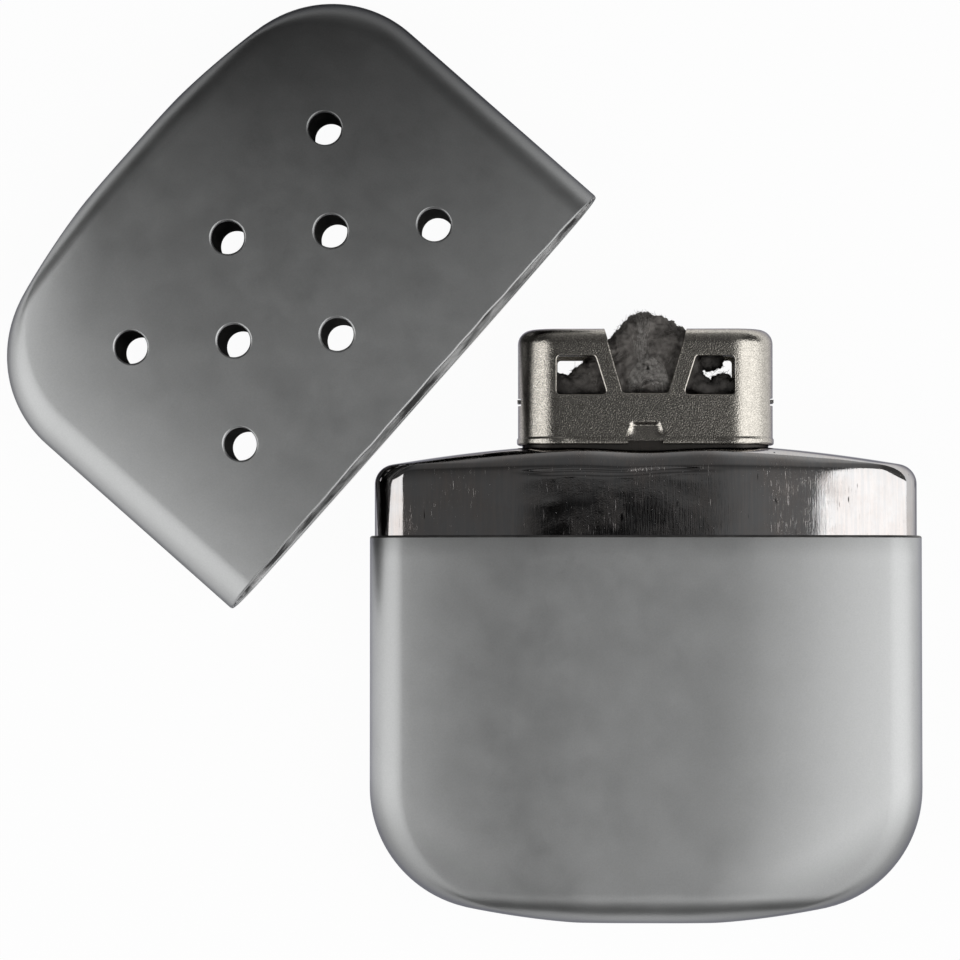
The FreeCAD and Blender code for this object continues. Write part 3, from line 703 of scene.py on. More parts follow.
TOP_CORNER = 2.5 * MM
TOP_BOW = 185 * MM
TOP_ROLL = 3 * MM
TOP_ROLL_INSET = 1.6 * MM
TOP_LAND = 15.75 * MM
NECK_HOLE_GAP = 0.03 * MM
NECK_HOLE_DOWN = 4 * MM
NECK_HOLE_UP = 2 * MM
CORNER_STEPS = 12


def rounded_block(half_x, half_up, corner, low, high):
    """Closed prism along the axis over a rounded rectangle."""
    quarter = [(0, half_up)]
    quarter += [(half_x - inset, half_up - fall) for inset, fall in rolled(corner, CORNER_STEPS)]
    quarter.append((half_x, 0))
    ring = mirrored(quarter)
    points = [(x, along, up) for along in (low, high) for x, up in ring]
    size = len(ring)
    faces = bands(0, 2, size, False) + end_cap(size, size, False) + end_cap(0, size, True)
    return points, faces


def smooth_share(value, low, high):
    """0 below low, 1 above high, and a smooth rise between."""
    share = min(1.0, max(0.0, (value - low) / (high - low)))
    return share * share * (3 - 2 * share)


SHOULDER_DIP = 0.45 * MM
SHOULDER_DIP_REACH = 6.5 * MM
SHOULDER_DIP_ALONG = (TOP_LENGTH - 3.6 * MM, TOP_LENGTH - 0.6 * MM)
CREASE_ALONG = 11.9 * MM
CREASE_DEPTH = 0.13 * MM
CREASE_WIDTH = 0.3 * MM
# the crease's two waves, as height and length, and where it starts and ends across the shoulder
CREASE_WAVES = ((0.12 * MM, 1.7 * MM), (0.2 * MM, 5 * MM))
CREASE_STARTS = (-17 * MM, -9 * MM)
CREASE_ENDS = (-1 * MM, 11 * MM)
RIPPLE = 0.012 * MM
RIPPLE_SCALE = 260


def worn_shoulder(x, along, up):
    """The shoulder shell's edge pressed down in the middle, with a shallow crease below it."""
    dip = SHOULDER_DIP * math.exp(-((x / SHOULDER_DIP_REACH) ** 2))
    near_end = smooth_share(along, *SHOULDER_DIP_ALONG)
    line = CREASE_ALONG + sum(height * math.sin(x / length) for height, length in CREASE_WAVES)
    reach = smooth_share(x, *CREASE_STARTS) * (1 - smooth_share(x, *CREASE_ENDS))
    crease = CREASE_DEPTH * reach * math.exp(-(((along - line) / CREASE_WIDTH) ** 2))
    ripple = RIPPLE * mathutils.noise.noise(Vector((x, along, 0)) * RIPPLE_SCALE)
    pressed = crease + ripple if abs(up) > TOP_HALF_DEPTH / 2 else 0.0
    return x, along - dip * near_end, up - math.copysign(pressed, up)


def make_shoulder():
    sizes = (TOP_HALF_WIDTH, TOP_HALF_DEPTH, TOP_LENGTH, TOP_CORNER)
    shape = DrawnShape(*sizes, TOP_BOW, TOP_ROLL, TOP_LAND, TOP_ROLL_INSET)
    points, faces, kinds = drawn_cup(shape, CASE_WALL, *TOP_ROWS)
    placed = laid_on_body([worn_shoulder(*p) for p in points], TOP_LOW.y, 1)
    shoulder = mesh_object(
        "shoulder_shell", placed, faces, [POLISHED, SHADED_INSIDE], "tank", kinds
    )
    points, faces = rounded_block(
        NECK_HALF_WIDTH + NECK_HOLE_GAP,
        NECK_HALF_DEPTH + NECK_HOLE_GAP,
        NECK_CORNER + NECK_HOLE_GAP,
        TOP_LENGTH - NECK_HOLE_DOWN,
        TOP_LENGTH + NECK_HOLE_UP,
    )
    hole = loose_mesh("neck_hole", laid_on_body(points, TOP_LOW.y, 1), faces, POLISHED)
    carve(shoulder, hole)
    even_normals(shoulder, SHOULDER_SHARP)
    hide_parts("tank_top")


VENT_RADIUS = 2 * MM
VENT_FLARE = 0.38 * MM
VENT_PITCH = 17.9 * MM
VENT_ROW_GAP = 8.95 * MM
VENT_CENTRE = 21.2 * MM
VENT_STEPS = 72
FLARE_STEPS = 6
FLARE_PROUD = 0.02 * MM
PIN_TOP = 1 * MM
PIN_FOOT = -1.6 * MM
LID_WAVE = 0.16 * MM
LID_BRIGHT_ROWS = 3
MOUTH_KIND = 2


def face_at(x):
    """Height and lean of a drawn shell's front at a distance from its middle."""
    quarter = oval_quarter(*CASE_HALVES, FLAT_HALF)
    for (x1, up1), (x2, up2) in zip(quarter, quarter[1:]):
        if x1 <= abs(x) <= x2:
            share = (abs(x) - x1) / (x2 - x1)
            return up1 + (up2 - up1) * share, math.copysign(math.atan2(up1 - up2, x2 - x1), x)
    raise ValueError("beyond the end of the oval")


def flared_pin(x, along, front):
    """A round cutter through one face, flared where it comes out of it."""
    up, lean = face_at(x)
    profile = [(VENT_RADIUS + VENT_FLARE, PIN_TOP)]
    for out, fall in rolled(VENT_FLARE, FLARE_STEPS):
        profile.append((VENT_RADIUS + out, FLARE_PROUD - fall))
    profile.append((VENT_RADIUS, PIN_FOOT))
    spot = Vector((x, along, up))
    turn = Matrix.Rotation(lean, 3, "Y")
    points = []
    for radius, height in profile:
        for angle in full_turn(VENT_STEPS):
            local = Vector((radius * math.cos(angle), radius * math.sin(angle), height))
            point = spot + turn @ local
            points.append((point.x, point.y, point.z if front else -point.z))
    return points, closed_tube(len(profile), VENT_STEPS, front)


def vent_spots():
    """Vents as half pitches across and rows along: three, two and three."""
    spots = [(-2, -1), (0, -1), (2, -1), (-1, 0), (1, 0), (-2, 1), (0, 1), (2, 1)]
    return [(across * VENT_PITCH / 2, VENT_CENTRE + row * VENT_ROW_GAP) for across, row in spots]


def make_lid():
    shape = DrawnShape(*CASE_HALVES, LID_LENGTH, LID_CORNER, END_BOW, END_EDGE, END_LAND)
    lip = (MOUTH_KIND, LID_WAVE, LID_BRIGHT_ROWS)
    points, faces, kinds = drawn_cup(shape, LID_WALL, *LID_ROWS, *lip)
    finishes = [SATIN_LID, SHADED_INSIDE, MOUTH_INSIDE]
    placed = laid_on_lid(points)
    lid = mesh_object("vented_lid", placed, faces, finishes, "lid", kinds)
    pins = [flared_pin(x, along, front) for x, along in vent_spots() for front in (True, False)]
    points, faces = joined(pins)
    carve(lid, loose_mesh("vent_pins", laid_on_lid(points), faces, SATIN_LID))
    even_normals(lid, SHEET_SHARP)
    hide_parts("lid_shell")


# -------- burner housing

HOUSING_CORNER = 5 * MM
HOUSING_EDGE = 1.8 * MM
HOUSING_EDGE_STEPS = 14
HOUSING_CORNER_STEPS = 16
# the right window's corners, across and along
WINDOW = [
    (4.75 * MM, 6.15 * MM), (10.85 * MM, 6.15 * MM), (10.85 * MM, 10.8 * MM), (6.2 * MM, 10.8 * MM),
]
NOTCH_FLOOR = 6.3 * MM
NOTCH_FOOT = 2.75 * MM
NOTCH_TOP = 5.05 * MM
NOTCH_SLOPE = (NOTCH_TOP - NOTCH_FOOT) / (FRAME_HEIGHT - NOTCH_FLOOR)
FOOT_NOTCH_HALF = 2.15 * MM
FOOT_NOTCH_HEIGHT = 0.45 * MM
SLOT_HALF = 2.5 * MM
SLOT_LOW = 4.85 * MM
SLOT_HIGH = 5.85 * MM
DENT_DEPTH = 0.42 * MM
INNER_DENT_DEPTH = 0.33 * MM
# the dimple along the housing: its foot, deepest line and top; and its half width and side slopes
DENT_FOOT = 0.75 * MM
DENT_DEEPEST = 2.3 * MM
DENT_TOP = 2.85 * MM
DENT_HALF_FOOT = 2.8 * MM
DENT_HALF_TOP = 1.95 * MM
DENT_SIDE_FOOT = 1.9 * MM
DENT_SIDE_TOP = 0.7 * MM
# the bead round the foot: where it fades out along, and where its worn part ends across
FOOT_FLARE = 0.13 * MM
FLARE_FADES = (0.68 * MM, 0.98 * MM)
BEAD_WORN = 0.85
WORN_FADES = (8.5 * MM, 10.5 * MM)
FOOT_ROUND = 0.32 * MM
ROUNDING_ERROR = 1e-7
CUT_FLARE = 0.24 * MM
CUT_STEPS = 6
CUT_PROUD = 0.01 * MM
CUT_CORNER = 0.4 * MM
CUT_CORNER_STEPS = 4
# cutters reach this far past what they cut, and the slots' cutters span these places across
CUT_OVER = 1 * MM
NOTCH_OVER = 3 * MM
SLOT_NEAR = 12 * MM
SLOT_FAR = 18 * MM
# the mesh is fine round the dimple and coarse beyond it
FINE_ACROSS = 2.6 * MM
FINE_ALONG = 3.2 * MM
STEPS_ACROSS = (0.08 * MM, 0.5 * MM)
STEPS_ALONG = (0.07 * MM, 0.4 * MM)


def spaced(low, high, step):
    """Evenly spaced values from low up to, but without, high."""
    count = max(1, round((high - low) / step))
    return [low + (high - low) * i / count for i in range(count)]


def housing_quarter(half_x, half_up, corner):
    """A quarter of the housing's rounded rectangle, finer in the middle where the dent is."""
    straight = half_x - corner
    fine, coarse = STEPS_ACROSS
    across = spaced(0, FINE_ACROSS, fine) + spaced(FINE_ACROSS, straight, coarse)
    points = [(x, half_up) for x in across]
    round_part = rolled(corner, HOUSING_CORNER_STEPS)[:-1]
    points += [(half_x - inset, half_up - fall) for inset, fall in round_part]
    points += [(half_x, up) for up in (half_up - corner, (half_up - corner) / 2, 0)]
    return points


def dent(x, along):
    """Depth of the grip dimple: steep along its top, sloping out towards the foot."""
    top = 1 - smooth_share(along, DENT_DEEPEST, DENT_TOP)
    slope = min(1.0, max(0.0, (along - DENT_FOOT) / (DENT_DEEPEST - DENT_FOOT)))
    half = DENT_HALF_FOOT + (DENT_HALF_TOP - DENT_HALF_FOOT) * slope
    width = DENT_SIDE_FOOT + (DENT_SIDE_TOP - DENT_SIDE_FOOT) * slope
    side = 1 - smooth_share(abs(x), half - width, half)
    return DENT_DEPTH * min(top, slope) * side


def foot_bead(along):
    """How far the foot's bead stands out."""
    return FOOT_FLARE * (1 - smooth_share(along, *FLARE_FADES))


def foot_flare(along):
    """The foot's bead, less the rounding of its lower edge."""
    below = min(1.0, max(0.0, 1 - along / FOOT_ROUND))
    return foot_bead(along) - FOOT_ROUND * (1 - math.sqrt(1 - below**2))


def pressed_in(x, along, wall):
    """How deep a flat face is pressed in: the dimple, and the bead worn down between its ends."""
    if wall > 0:
        return min(dent(x, along), INNER_DENT_DEPTH)
    worn = BEAD_WORN * (1 - smooth_share(abs(x), *WORN_FADES))
    return dent(x, along) + foot_bead(along) * worn


def housing_solid(wall, foot):
    """Closed solid of the housing's outside, or of its inside when wall is the sheet."""
    top = FRAME_HEIGHT - wall
    edge = HOUSING_EDGE - wall
    fine, coarse = STEPS_ALONG
    rows = spaced(foot, FINE_ALONG, fine) + spaced(FINE_ALONG, top - edge, coarse)
    rings = [(along, 0.0) for along in rows]
    rings += [(top - fall, inset) for fall, inset in rolled(edge, HOUSING_EDGE_STEPS)]
    points = []
    for along, inset in rings:
        out = (foot_flare(along) if wall == 0 else 0.0) - wall - inset
        sizes = (FRAME_HALF_WIDTH + out, FRAME_HALF_DEPTH + out, HOUSING_CORNER + out)
        for x, up in mirrored(housing_quarter(*sizes)):
            flat = abs(up) > FRAME_HALF_DEPTH + out - ROUNDING_ERROR
            pressed = pressed_in(x, along, wall) if flat else 0.0
            points.append((x, along, up - math.copysign(pressed, up)))
    size = len(points) // len(rings)
    faces = bands(0, len(rings), size, False)
    faces += end_cap((len(rings) - 1) * size, size, False)
    faces += end_cap(0, size, True)
    return points, faces


def rounded_polygon(corners, radius, spread=0.0):
    """Outline with its corners cut round, grown by spread; corners are (x, along) in order."""
    points = []
    for i, corner in enumerate(corners):
        here = Vector(corner)
        before = (Vector(corners[i - 1]) - here).normalized()
        after = (Vector(corners[(i + 1) % len(corners)]) - here).normalized()
        half = before.angle(after) / 2
        reach = radius / math.tan(half)
        centre = here + (before + after).normalized() * (radius / math.sin(half))
        start = here + before * reach - centre
        end = here + after * reach - centre
        sweep = start.angle_signed(end)
        for step in range(CUT_CORNER_STEPS + 1):
            turn = Matrix.Rotation(-sweep * step / CUT_CORNER_STEPS, 2)
            points.append(tuple(centre + turn @ start * (1 + spread / radius)))
    return points


def flared_opening(corners):
    """A cutter through both faces whose edges are rolled in, as a punch leaves them."""
    levels = [(FRAME_HALF_DEPTH * 2, CUT_FLARE)]
    for spread, fall in rolled(CUT_FLARE, CUT_STEPS):
        levels.append((FRAME_HALF_DEPTH - (fall - CUT_PROUD), spread))
    levels += [(-up, spread) for up, spread in levels[::-1]]
    points = []
    for up, spread in levels:
        outline = rounded_polygon(corners, CUT_CORNER, spread)
        points += [(x, along, up) for x, along in outline]
    return points, closed_tube(len(levels), len(points) // len(levels), True)


def box_outline(left, right, low, high):
    return [(left, low), (right, low), (right, high), (left, high)]


def housing_cutters():
    """Windows, notch, foot notch and the slots for the retainer's ears."""
    reach = FRAME_HALF_DEPTH * 2
    over = FRAME_HEIGHT + NOTCH_OVER
    wide = NOTCH_FOOT + NOTCH_SLOPE * (over - NOTCH_FLOOR)
    notch = [(NOTCH_FOOT, NOTCH_FLOOR), (wide, over), (-wide, over), (-NOTCH_FOOT, NOTCH_FLOOR)]
    left_window = [(-x, along) for x, along in WINDOW[::-1]]
    foot = box_outline(-FOOT_NOTCH_HALF, FOOT_NOTCH_HALF, -CUT_OVER, FOOT_NOTCH_HEIGHT)
    solids = [flared_opening(outline) for outline in (WINDOW, left_window, notch)]
    solids.append(prism(foot, -reach, reach))
    for near, far in ((-SLOT_FAR, -SLOT_NEAR), (SLOT_NEAR, SLOT_FAR)):
        slot = box_outline(near, far, SLOT_LOW, SLOT_HIGH)
        solids.append(prism(slot, -SLOT_HALF, SLOT_HALF))
    return solids


def make_housing():
    points, faces = housing_solid(0.0, 0.0)
    housing = mesh_object(
        "burner_housing", laid_on_frame(points), faces, [BURNER_PLATING], "burner"
    )
    for points, faces in [housing_solid(FRAME_SHEET, -CUT_OVER)] + housing_cutters():
        carve(housing, loose_mesh("cutter", laid_on_frame(points), faces, BURNER_PLATING))
    even_normals(housing, SHEET_SHARP)
    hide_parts("burner_frame")


# -------- catalyst wool

WOOL_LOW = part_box("catalyst_wool")[0].y - FRAME_FOOT
WOOL_HALF_WIDTH = 14.8 * MM
WOOL_HALF_DEPTH = 4.5 * MM
WOOL_VOXEL = 0.18 * MM
WOOL_GAP = 0.15 * MM
WOOL_COLUMNS = 72
WOOL_RING = 40
WOOL_SQUARENESS = 3.4
# the outermost tenth of the heap's width gets thinner, to half of its depth
WOOL_THINS_FROM = 0.9
WOOL_THINS_BY = 5
# the heap's top, left to right, as the photograph shows it: x and height on the frame, in mm
WOOL_TOP = [
    (-14.8, 8.3), (-12.0, 8.7), (-9.9, 8.5), (-9.2, 8.6), (-8.3, 9.5), (-6.9, 10.5), (-5.6, 11.8),
    (-4.6, 12.5), (-3.3, 14.1), (-2.5, 15.1), (-1.3, 15.8), (-0.6, 16.6), (0.2, 16.5), (0.9, 16.2),
    (1.7, 15.8), (2.6, 15.4), (3.8, 14.7), (4.8, 14.2), (5.6, 12.8), (6.4, 10.6), (6.9, 8.9),
    (7.5, 7.7), (8.2, 7.7), (9.0, 8.5), (9.7, 8.7), (10.4, 8.0), (12.6, 8.2), (14.8, 7.9),
]
# how far the wool stays from the notch's floor and sides and from the faces, and how high above
# the housing's top it is free
NOTCH_CLEAR = 0.4 * MM
NOTCH_SIDE_CLEAR = 0.5 * MM
FACE_CLEAR = 0.1 * MM
TOP_CLEAR = 0.2 * MM

# the lobe: its mesh, its middle across and along, and its half width, height and depth
LOBE_ROWS = 12
LOBE_RING = 24
LOBE_MIDDLE = (7.7 * MM, 10.5 * MM)
LOBE_HALVES = (1.75 * MM, 1.05 * MM, 4.2 * MM)

# fractal noises of the heap: scale, share of each finer octave, its fineness, octaves, and depth
LUMPS = (420, 0.8, 2.0, 3, 0.6)
MATS = (1300, 0.6, 2.1, 4, 0.3)
MATS_APART = Vector((7, 3, 1))
# mounds on the heap: middle across and along, half width, half height and depth
TUFT_X = 0.3 * MM
TUFT_WIDTH = 2.1 * MM
TUFT_MOUND = (TUFT_X, 8.9 * MM, TUFT_WIDTH, 1.5 * MM, 0.5 * MM)
RIDGE_X = -0.4 * MM
RIDGE_MOUND = (RIDGE_X, 13.4 * MM, 0.6 * MM, 2.2 * MM, 0.35 * MM)
# the wavy fold below the tuft
FOLD_ALONG = 7.25 * MM
FOLD_WAVE = 0.35 * MM
FOLD_WAVE_LENGTH = 0.75 * MM
FOLD_WIDTH = 0.3 * MM
FOLD_DEPTH = 0.9 * MM

# random ranges are written (least, most); a strand's are its length, radius and lift in mm
STRAND_STEPS = 6
STRAND_SHARES = [step / STRAND_STEPS for step in range(STRAND_STEPS + 1)]
STRAND_COUNT = 4200
SEED = 11
STRAND_SIZES = ((0.6, 2.0), (0.012, 0.028), (0.01, 0.09))
STRAND_BEND = 0.55
STRAND_END = 0.35
# few strands start on the heap's steep edge, whose normal leans less than this to the front
EDGE_LEAN = 0.35
EDGE_SHARE = 0.05
LEAST_WEIGHT = 0.05

# pale strands: radius and lift in mm
PALE_SIZES = ((0.013, 0.026), (0.0, 0.09))
RAY_START = 20 * MM
TUFT_STRANDS = 1100
TUFT_SPREAD = 2.5 * MM
TUFT_CENTRE = 6.9 * MM
TUFT_REACH = 3.6 * MM
# an arc's share of the tuft's area, its start and sweep in half turns, and its drift in mm
ARC_SIZES = ((0.05, 1.0), (-0.1, 0.85), (0.12, 0.32), (-0.25, 0.25))
RIDGE_STRANDS = 180
RIDGE_SPREAD = 0.4 * MM
# a line's start along the ridge, its lean and its length, in mm
RIDGE_SIZES = ((9.2, 14.2), (-0.5, 0.4), (1.0, 2.4))


def picked(dice, sizes):
    """One random value from each range."""
    return [dice.uniform(*reach) for reach in sizes]


def wool_top(x):
    for (x1, top1), (x2, top2) in zip(WOOL_TOP, WOOL_TOP[1:]):
        if x1 * MM <= x <= x2 * MM:
            share = (x / MM - x1) / (x2 - x1)
            return (top1 + (top2 - top1) * share) * MM
    return WOOL_TOP[0][1] * MM


def wool_room(x, along):
    """How far from the middle wool may come: behind the sheet, or out of an opening a little."""
    notch_side = NOTCH_FOOT + NOTCH_SLOPE * (along - NOTCH_FLOOR)
    if along > NOTCH_FLOOR + NOTCH_CLEAR and abs(x) < notch_side - NOTCH_SIDE_CLEAR:
        return FRAME_HALF_DEPTH - FACE_CLEAR
    if along > FRAME_HEIGHT + TOP_CLEAR:
        return FRAME_HALF_DEPTH
    bent = max(0.0, abs(x) - FRAME_HALF_WIDTH + HOUSING_CORNER)
    inner = HOUSING_CORNER - FRAME_SHEET - WOOL_GAP
    return FRAME_HALF_DEPTH - HOUSING_CORNER + math.sqrt(max(0.0, inner**2 - bent**2))


def kept_in(x, along, up):
    """A wool point moved back behind the sheet and onto the gauze."""
    room = wool_room(x, along)
    side = FRAME_HALF_WIDTH - FRAME_SHEET - 2 * WOOL_GAP
    return max(-side, min(side, x)), max(WOOL_LOW, along), max(-room, min(room, up))


def kept_on_body(x, y, z):
    """A point of the row frame, kept in the housing."""
    return laid_on_frame([kept_in(x, y - FRAME_FOOT, z - MID_HEIGHT)])[0]


def squared_off(share):
    """A circle's coordinate, moved out towards a square's."""
    return math.copysign(abs(share) ** (2 / WOOL_SQUARENESS), share)


def wool_body():
    """The heap before it is roughened: a squared oval over each step across."""
    points = []
    for column in range(WOOL_COLUMNS + 1):
        x = WOOL_HALF_WIDTH * (2 * column / WOOL_COLUMNS - 1)
        rise = (wool_top(x) - WOOL_LOW) / 2
        close = 1 - max(0.0, abs(x) / WOOL_HALF_WIDTH - WOOL_THINS_FROM) * WOOL_THINS_BY
        for turn in full_turn(WOOL_RING):
            wide, high = squared_off(math.cos(turn)), squared_off(math.sin(turn))
            points.append((x, WOOL_LOW + rise * (1 + high), WOOL_HALF_DEPTH * close * wide))
    return joined([(points, closed_tube(WOOL_COLUMNS + 1, WOOL_RING, False)), wool_lobe()])


def wool_lobe():
    """The lobe that hangs over the right window, in one with the heap once it is remeshed."""
    (middle_x, middle_along), (wide, high, deep) = LOBE_MIDDLE, LOBE_HALVES
    points = []
    for row in range(1, LOBE_ROWS):
        polar = math.pi * row / LOBE_ROWS
        for turn in full_turn(LOBE_RING):
            x = middle_x + wide * math.cos(turn) * math.sin(polar)
            along = middle_along + high * math.sin(turn) * math.sin(polar)
            points.append((x, along, deep * math.cos(polar)))
    return points, closed_tube(LOBE_ROWS - 1, LOBE_RING, True)


def mound(x, along, middle_x, middle_along, width, height, depth):
    """A bell shape, as deep as depth at its middle."""
    away = ((x - middle_x) / width) ** 2 + ((along - middle_along) / height) ** 2
    return depth * math.exp(-away)


def roughen(thing):
    """Lumps and matted ridges, pressed back behind the housing's sheet."""
    mesh = thing.data
    normals = [v.normal.copy() for v in mesh.vertices]
    for vertex, normal in zip(mesh.vertices, normals):
        place = vertex.co
        lumps = mathutils.noise.fractal(place * LUMPS[0], *LUMPS[1:4])
        mats = mathutils.noise.fractal(place * MATS[0] + MATS_APART, *MATS[1:4])
        moved = place + normal * (lumps * LUMPS[4] + mats * MATS[4]) * MM
        x, along, up = moved.x, moved.y - FRAME_FOOT, moved.z - MID_HEIGHT
        line = FOLD_ALONG + FOLD_WAVE * math.sin(x / FOLD_WAVE_LENGTH)
        raised = mound(x, along, *TUFT_MOUND) + mound(x, along, *RIDGE_MOUND)
        raised -= mound(x, along, TUFT_X, line, TUFT_WIDTH, FOLD_WIDTH, FOLD_DEPTH)
        vertex.co = kept_on_body(moved.x, moved.y, moved.z + math.copysign(raised, up))


def surface_spots(mesh, count, dice):
    """Random places on a mesh, each with its normal."""
    sums = list(itertools.accumulate(polygon.area for polygon in mesh.polygons))
    spots = []
    for _ in range(count):
        polygon = mesh.polygons[bisect.bisect_left(sums, dice.random() * sums[-1])]
        corners = [mesh.vertices[i].co for i in polygon.vertices]
        weights = [dice.random() + LEAST_WEIGHT for _ in corners]
        spot = sum((c * w for c, w in zip(corners, weights)), Vector()) / sum(weights)
        spots.append((spot, polygon.normal.copy()))
    return spots


def random_way(dice):
    return Vector([dice.uniform(-1, 1) for _ in range(3)])


def strand(spot, normal, length, radius, lift, dice):
    """A thin curling three-sided fibre that leaves the surface and comes back to it."""
    way = normal.cross(random_way(dice)).normalized()
    bend = random_way(dice) * STRAND_BEND
    place = spot - way * length / 2
    centres = []
    for share in STRAND_SHARES:
        centres.append(place + normal * lift * math.sin(math.pi * share))
        way = (way + bend / STRAND_STEPS * 2).normalized()
        place = place + way * length / STRAND_STEPS
    return tube(centres, radius)


def tube(centres, radius):
    """A three-sided tube along centres, thinner at its ends and kept inside the housing."""
    points = []
    for step, centre in enumerate(centres):
        along = (centres[min(step + 1, STRAND_STEPS)] - centres[max(step - 1, 0)]).normalized()
        side = along.orthogonal().normalized()
        other = along.cross(side)
        thin = radius * (STRAND_END + (1 - STRAND_END) * math.sin(math.pi * step / STRAND_STEPS))
        for turn in full_turn(3):
            point = centre + (side * math.cos(turn) + other * math.sin(turn)) * thin
            points.append(kept_on_body(*point))
    return points, closed_tube(STRAND_STEPS + 1, 3, False)


def tuft_spots(dice):
    """An arc of the pale tuft, as (x, height on the frame)."""
    area, first, sweep, drift = picked(dice, ARC_SIZES)
    size = math.sqrt(area)
    spots = []
    for share in STRAND_SHARES:
        turn = (first + sweep * share) * math.pi
        x = TUFT_X + TUFT_SPREAD * size * math.cos(turn) + drift * share * MM
        along = TUFT_CENTRE + TUFT_REACH * size * math.sin(turn) + drift * share * MM
        spots.append((x, along))
    return spots


def ridge_spots(dice):
    """A line up the pale ridge, as (x, height on the frame)."""
    x = RIDGE_X + dice.gauss(0, RIDGE_SPREAD)
    along, lean, length = picked(dice, RIDGE_SIZES)
    return [(x + lean * share * MM, (along + length * share) * MM) for share in STRAND_SHARES]


def combed_strand(tree, front, spots, dice):
    """A pale strand laid on the heap over some spots, or None where it leaves the heap."""
    radius, lift = (size * MM for size in picked(dice, PALE_SIZES))
    centres = []
    for share, (x, along) in zip(STRAND_SHARES, spots):
        start = Vector((x, FRAME_FOOT + along, MID_HEIGHT + front * RAY_START))
        spot = tree.ray_cast(start, Vector((0, 0, -front)))[0]
        if spot is None or along < NOTCH_FLOOR:
            return None
        rise = lift * math.sin(math.pi * share) + radius
        centres.append(spot + Vector((0, 0, front * rise)))
    return tube(centres, radius)


def make_wool():
    dice = random.Random(SEED)
    points, faces = wool_body()
    placed = laid_on_frame(points)
    wool = mesh_object("catalyst_heap", placed, faces, [WOOL], "burner")
    remesh = wool.modifiers.new("even_mesh", "REMESH")
    remesh.mode = "VOXEL"
    remesh.voxel_size = WOOL_VOXEL
    remesh.use_smooth_shade = True
    settle(wool)
    roughen(wool)
    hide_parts("catalyst_wool")
    strands = []
    for spot, normal in surface_spots(wool.data, STRAND_COUNT, dice):
        if abs(normal.z) < EDGE_LEAN and dice.random() > EDGE_SHARE:
            continue
        length, radius, lift = (size * MM for size in picked(dice, STRAND_SIZES))
        strands.append(strand(spot, normal, length, radius, lift, dice))
    points, faces = joined(strands)
    mesh_object("catalyst_fibres", points, faces, [FIBRES], "burner")
    bpy.context.view_layer.update()
    corners = [vertex.co for vertex in wool.data.vertices]
    tree = BVHTree.FromPolygons(corners, [polygon.vertices for polygon in wool.data.polygons])
    combed = []
    for front in (1, -1):
        for spots, count in ((tuft_spots, TUFT_STRANDS), (ridge_spots, RIDGE_STRANDS)):
            combed += [combed_strand(tree, front, spots(dice), dice) for _ in range(count)]
    points, faces = joined([pale for pale in combed if pale is not None])
    mesh_object("catalyst_tuft", points, faces, [TUFT_FIBRES], "burner")


# -------- studio

FLOOR_SIZE = 6
FLOOR_COLOR = (0.9, 0.9, 0.9, 1)
FLOOR_WHITE_SHARE = 0.96
OBJECT_MIDDLE = Vector((-20 * MM, 30 * MM, MID_HEIGHT))
LAMP_DISTANCE = 0.8
# each lamp: azimuth and zenith angle in degrees, width and height in metres, and radiance
LAMPS = {
    "key_right": (-20, 52.8, 1.0, 1.2, 1.52),
    "fill_left": (204, 58, 0.95, 1.0, 1.33),
}
# the room's level from straight behind the object's foot (-1) to straight beyond its top (1)
ROOM_LEVELS = [
    (-1.0, 0.05), (-0.5, 0.06), (-0.2, 0.12), (-0.05, 0.112), (0.04, 0.097), (0.15, 0.062),
    (0.28, 0.04), (0.38, 0.085), (0.5, 0.095), (0.7, 0.1), (0.85, 0.13), (1.0, 0.26),
]
# the room is lighter towards the key lamp
KEY_SIDE = (-0.02, 0.14)
KEY_SHARE = (0.86, 1.6)
# and darker in its two far corners
CORNER_SIDE = (0.3, 0.55)
CORNER_BEYOND = (0.25, 0.5)
CORNER_SHARE = 0.42
# the dark lens that the polished shoulder mirrors: its sides, and how softly each ends
LENS_SIDES = (-0.055, 0.02)
LENS_SIDES_SOFT = (0.09, 0.014)
LENS_ENDS = (-0.08, 0.0235)
LENS_ENDS_SOFT = (0.03, 0.007)
LENS_LEVEL = 0.04


def make_floor():
    """A pale floor that is white to the camera and in reflections, and keeps a faint shadow."""
    bpy.ops.mesh.primitive_plane_add(size=FLOOR_SIZE, location=(0, 0, 0))
    floor = bpy.context.object
    floor.name = "floor"
    material = node_material("pale_floor")
    material.node_tree.nodes.clear()
    path = add_node(material, "LightPath").outputs
    seen = calculated(material, "MAXIMUM", path["Is Camera Ray"], path["Is Glossy Ray"])
    seen = calculated(material, "MAXIMUM", seen, path["Is Transmission Ray"])
    share = calculated(material, "MULTIPLY", seen, FLOOR_WHITE_SHARE)
    diffuse = add_node(material, "BsdfDiffuse", Color=FLOOR_COLOR)
    white = add_node(material, "Emission", Color=(1, 1, 1, 1), Strength=1)
    mix = add_node(material, "MixShader", Fac=share)
    feed(material, diffuse.outputs[0], mix.inputs[1])
    feed(material, white.outputs[0], mix.inputs[2])
    add_node(material, "OutputMaterial", Surface=mix.outputs[0])
    floor.data.materials.append(material)


def placed_axes(way, upright):
    """Axes with Z along a way and X square to it and to what stands upright."""
    right = upright.cross(way).normalized()
    return Matrix((right, way.cross(right), way)).transposed().to_4x4()


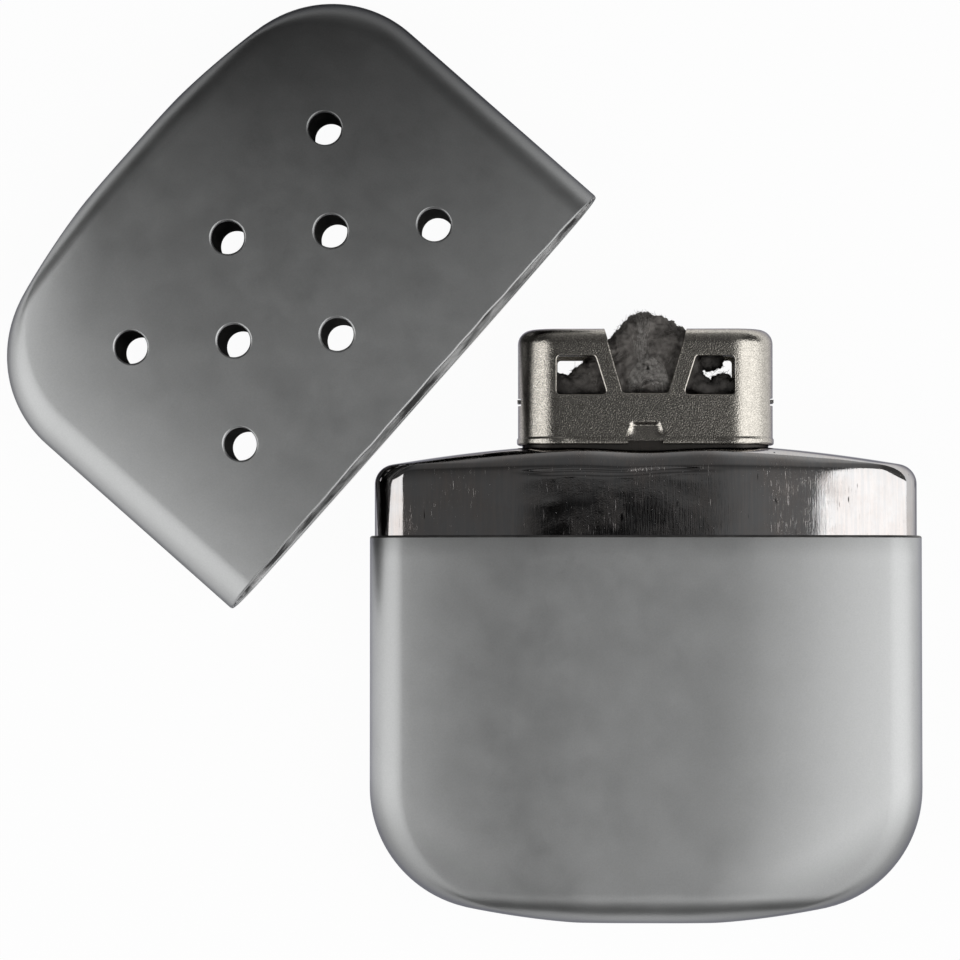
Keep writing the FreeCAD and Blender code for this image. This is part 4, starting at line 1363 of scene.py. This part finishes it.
def add_softbox(name, azimuth, zenith, width, height, radiance):
    """A rectangular lamp: azimuth from +X towards +Y and zenith angle from +Z, in degrees."""
    turn = math.radians(azimuth)
    fall = math.radians(zenith)
    way = Vector((math.cos(turn) * math.sin(fall), math.sin(turn) * math.sin(fall), math.cos(fall)))
    data = bpy.data.lights.new(name, "AREA")
    data.shape = "RECTANGLE"
    data.size = width
    data.size_y = height
    data.energy = radiance * width * height * math.pi
    place = Matrix.Translation(OBJECT_MIDDLE + way * LAMP_DISTANCE)
    linked_object(name, data).matrix_world = place @ placed_axes(way, Vector((0, 0, 1)))


def between(world, value, ends, soft):
    """1 between two ends of a direction's component, 0 outside, with soft edges."""
    rise = eased(world, value, (ends[0] - soft[0], ends[0]), (0.0, 1.0))
    fall = eased(world, value, (ends[1], ends[1] + soft[1]), (1.0, 0.0))
    return calculated(world, "MULTIPLY", rise, fall)


def lowered(world, level, share, lowest):
    """A level that goes down to its lowest share as another share goes up to 1."""
    taken = calculated(world, "MULTIPLY", share, lowest - 1)
    left = calculated(world, "ADD", taken, 1.0)
    return calculated(world, "MULTIPLY", level, left)


def make_studio():
    for name, values in LAMPS.items():
        add_softbox(name, *values)
    world = bpy.data.worlds.new("studio")
    bpy.context.scene.world = world
    world.use_nodes = True
    way = add_node(world, "TexCoord").outputs["Generated"]
    side, beyond = add_node(world, "SeparateXYZ", Vector=way).outputs[:2]
    half = calculated(world, "MULTIPLY", beyond, 0.5)
    room = add_node(world, "ValToRGB", Fac=calculated(world, "ADD", half, 0.5))
    stops = room.color_ramp.elements
    stops.remove(stops[1])
    stops[0].position = 0
    stops[0].color = (*grey(ROOM_LEVELS[0][1]), 1)
    for place, level in ROOM_LEVELS[1:]:
        stops.new((place + 1) / 2).color = (*grey(level), 1)
    across = between(world, side, LENS_SIDES, LENS_SIDES_SOFT)
    along = between(world, beyond, LENS_ENDS, LENS_ENDS_SOFT)
    lens = calculated(world, "MULTIPLY", across, along)
    level = lowered(world, room.outputs["Color"], lens, LENS_LEVEL)
    level = calculated(world, "MULTIPLY", level, eased(world, side, KEY_SIDE, KEY_SHARE))
    either_side = eased(world, calculated(world, "ABSOLUTE", side), CORNER_SIDE, (0.0, 1.0))
    far = eased(world, beyond, CORNER_BEYOND, (0.0, 1.0))
    level = lowered(world, level, calculated(world, "MULTIPLY", either_side, far), CORNER_SHARE)
    background = world.node_tree.nodes["Background"]
    set_inputs(world, background, Color=(1, 1, 1, 1), Strength=level)


CAMERA_FOOT = Vector((-7.3 * MM, LIP - 7.4 * MM, 0.507))
CAMERA_AIM = Vector((-20.4 * MM, LIP + 6.9 * MM, MID_HEIGHT))
FIELD_WIDTH = 118.6 * MM
SENSOR_WIDTH = 36


def make_camera():
    data = bpy.data.cameras.new("camera")
    data.sensor_width = SENSOR_WIDTH
    data.lens = data.sensor_width * (CAMERA_FOOT - CAMERA_AIM).length / FIELD_WIDTH
    camera = linked_object("camera", data)
    axes = placed_axes((CAMERA_FOOT - CAMERA_AIM).normalized(), Vector((0, 1, 0)))
    camera.matrix_world = Matrix.Translation(CAMERA_FOOT) @ axes
    bpy.context.scene.camera = camera


finish_nodes()
make_case()
make_shoulder()
make_lid()
make_housing()
make_wool()
make_floor()
make_studio()
make_camera()
bpy.context.scene.view_settings.view_transform = "Standard"
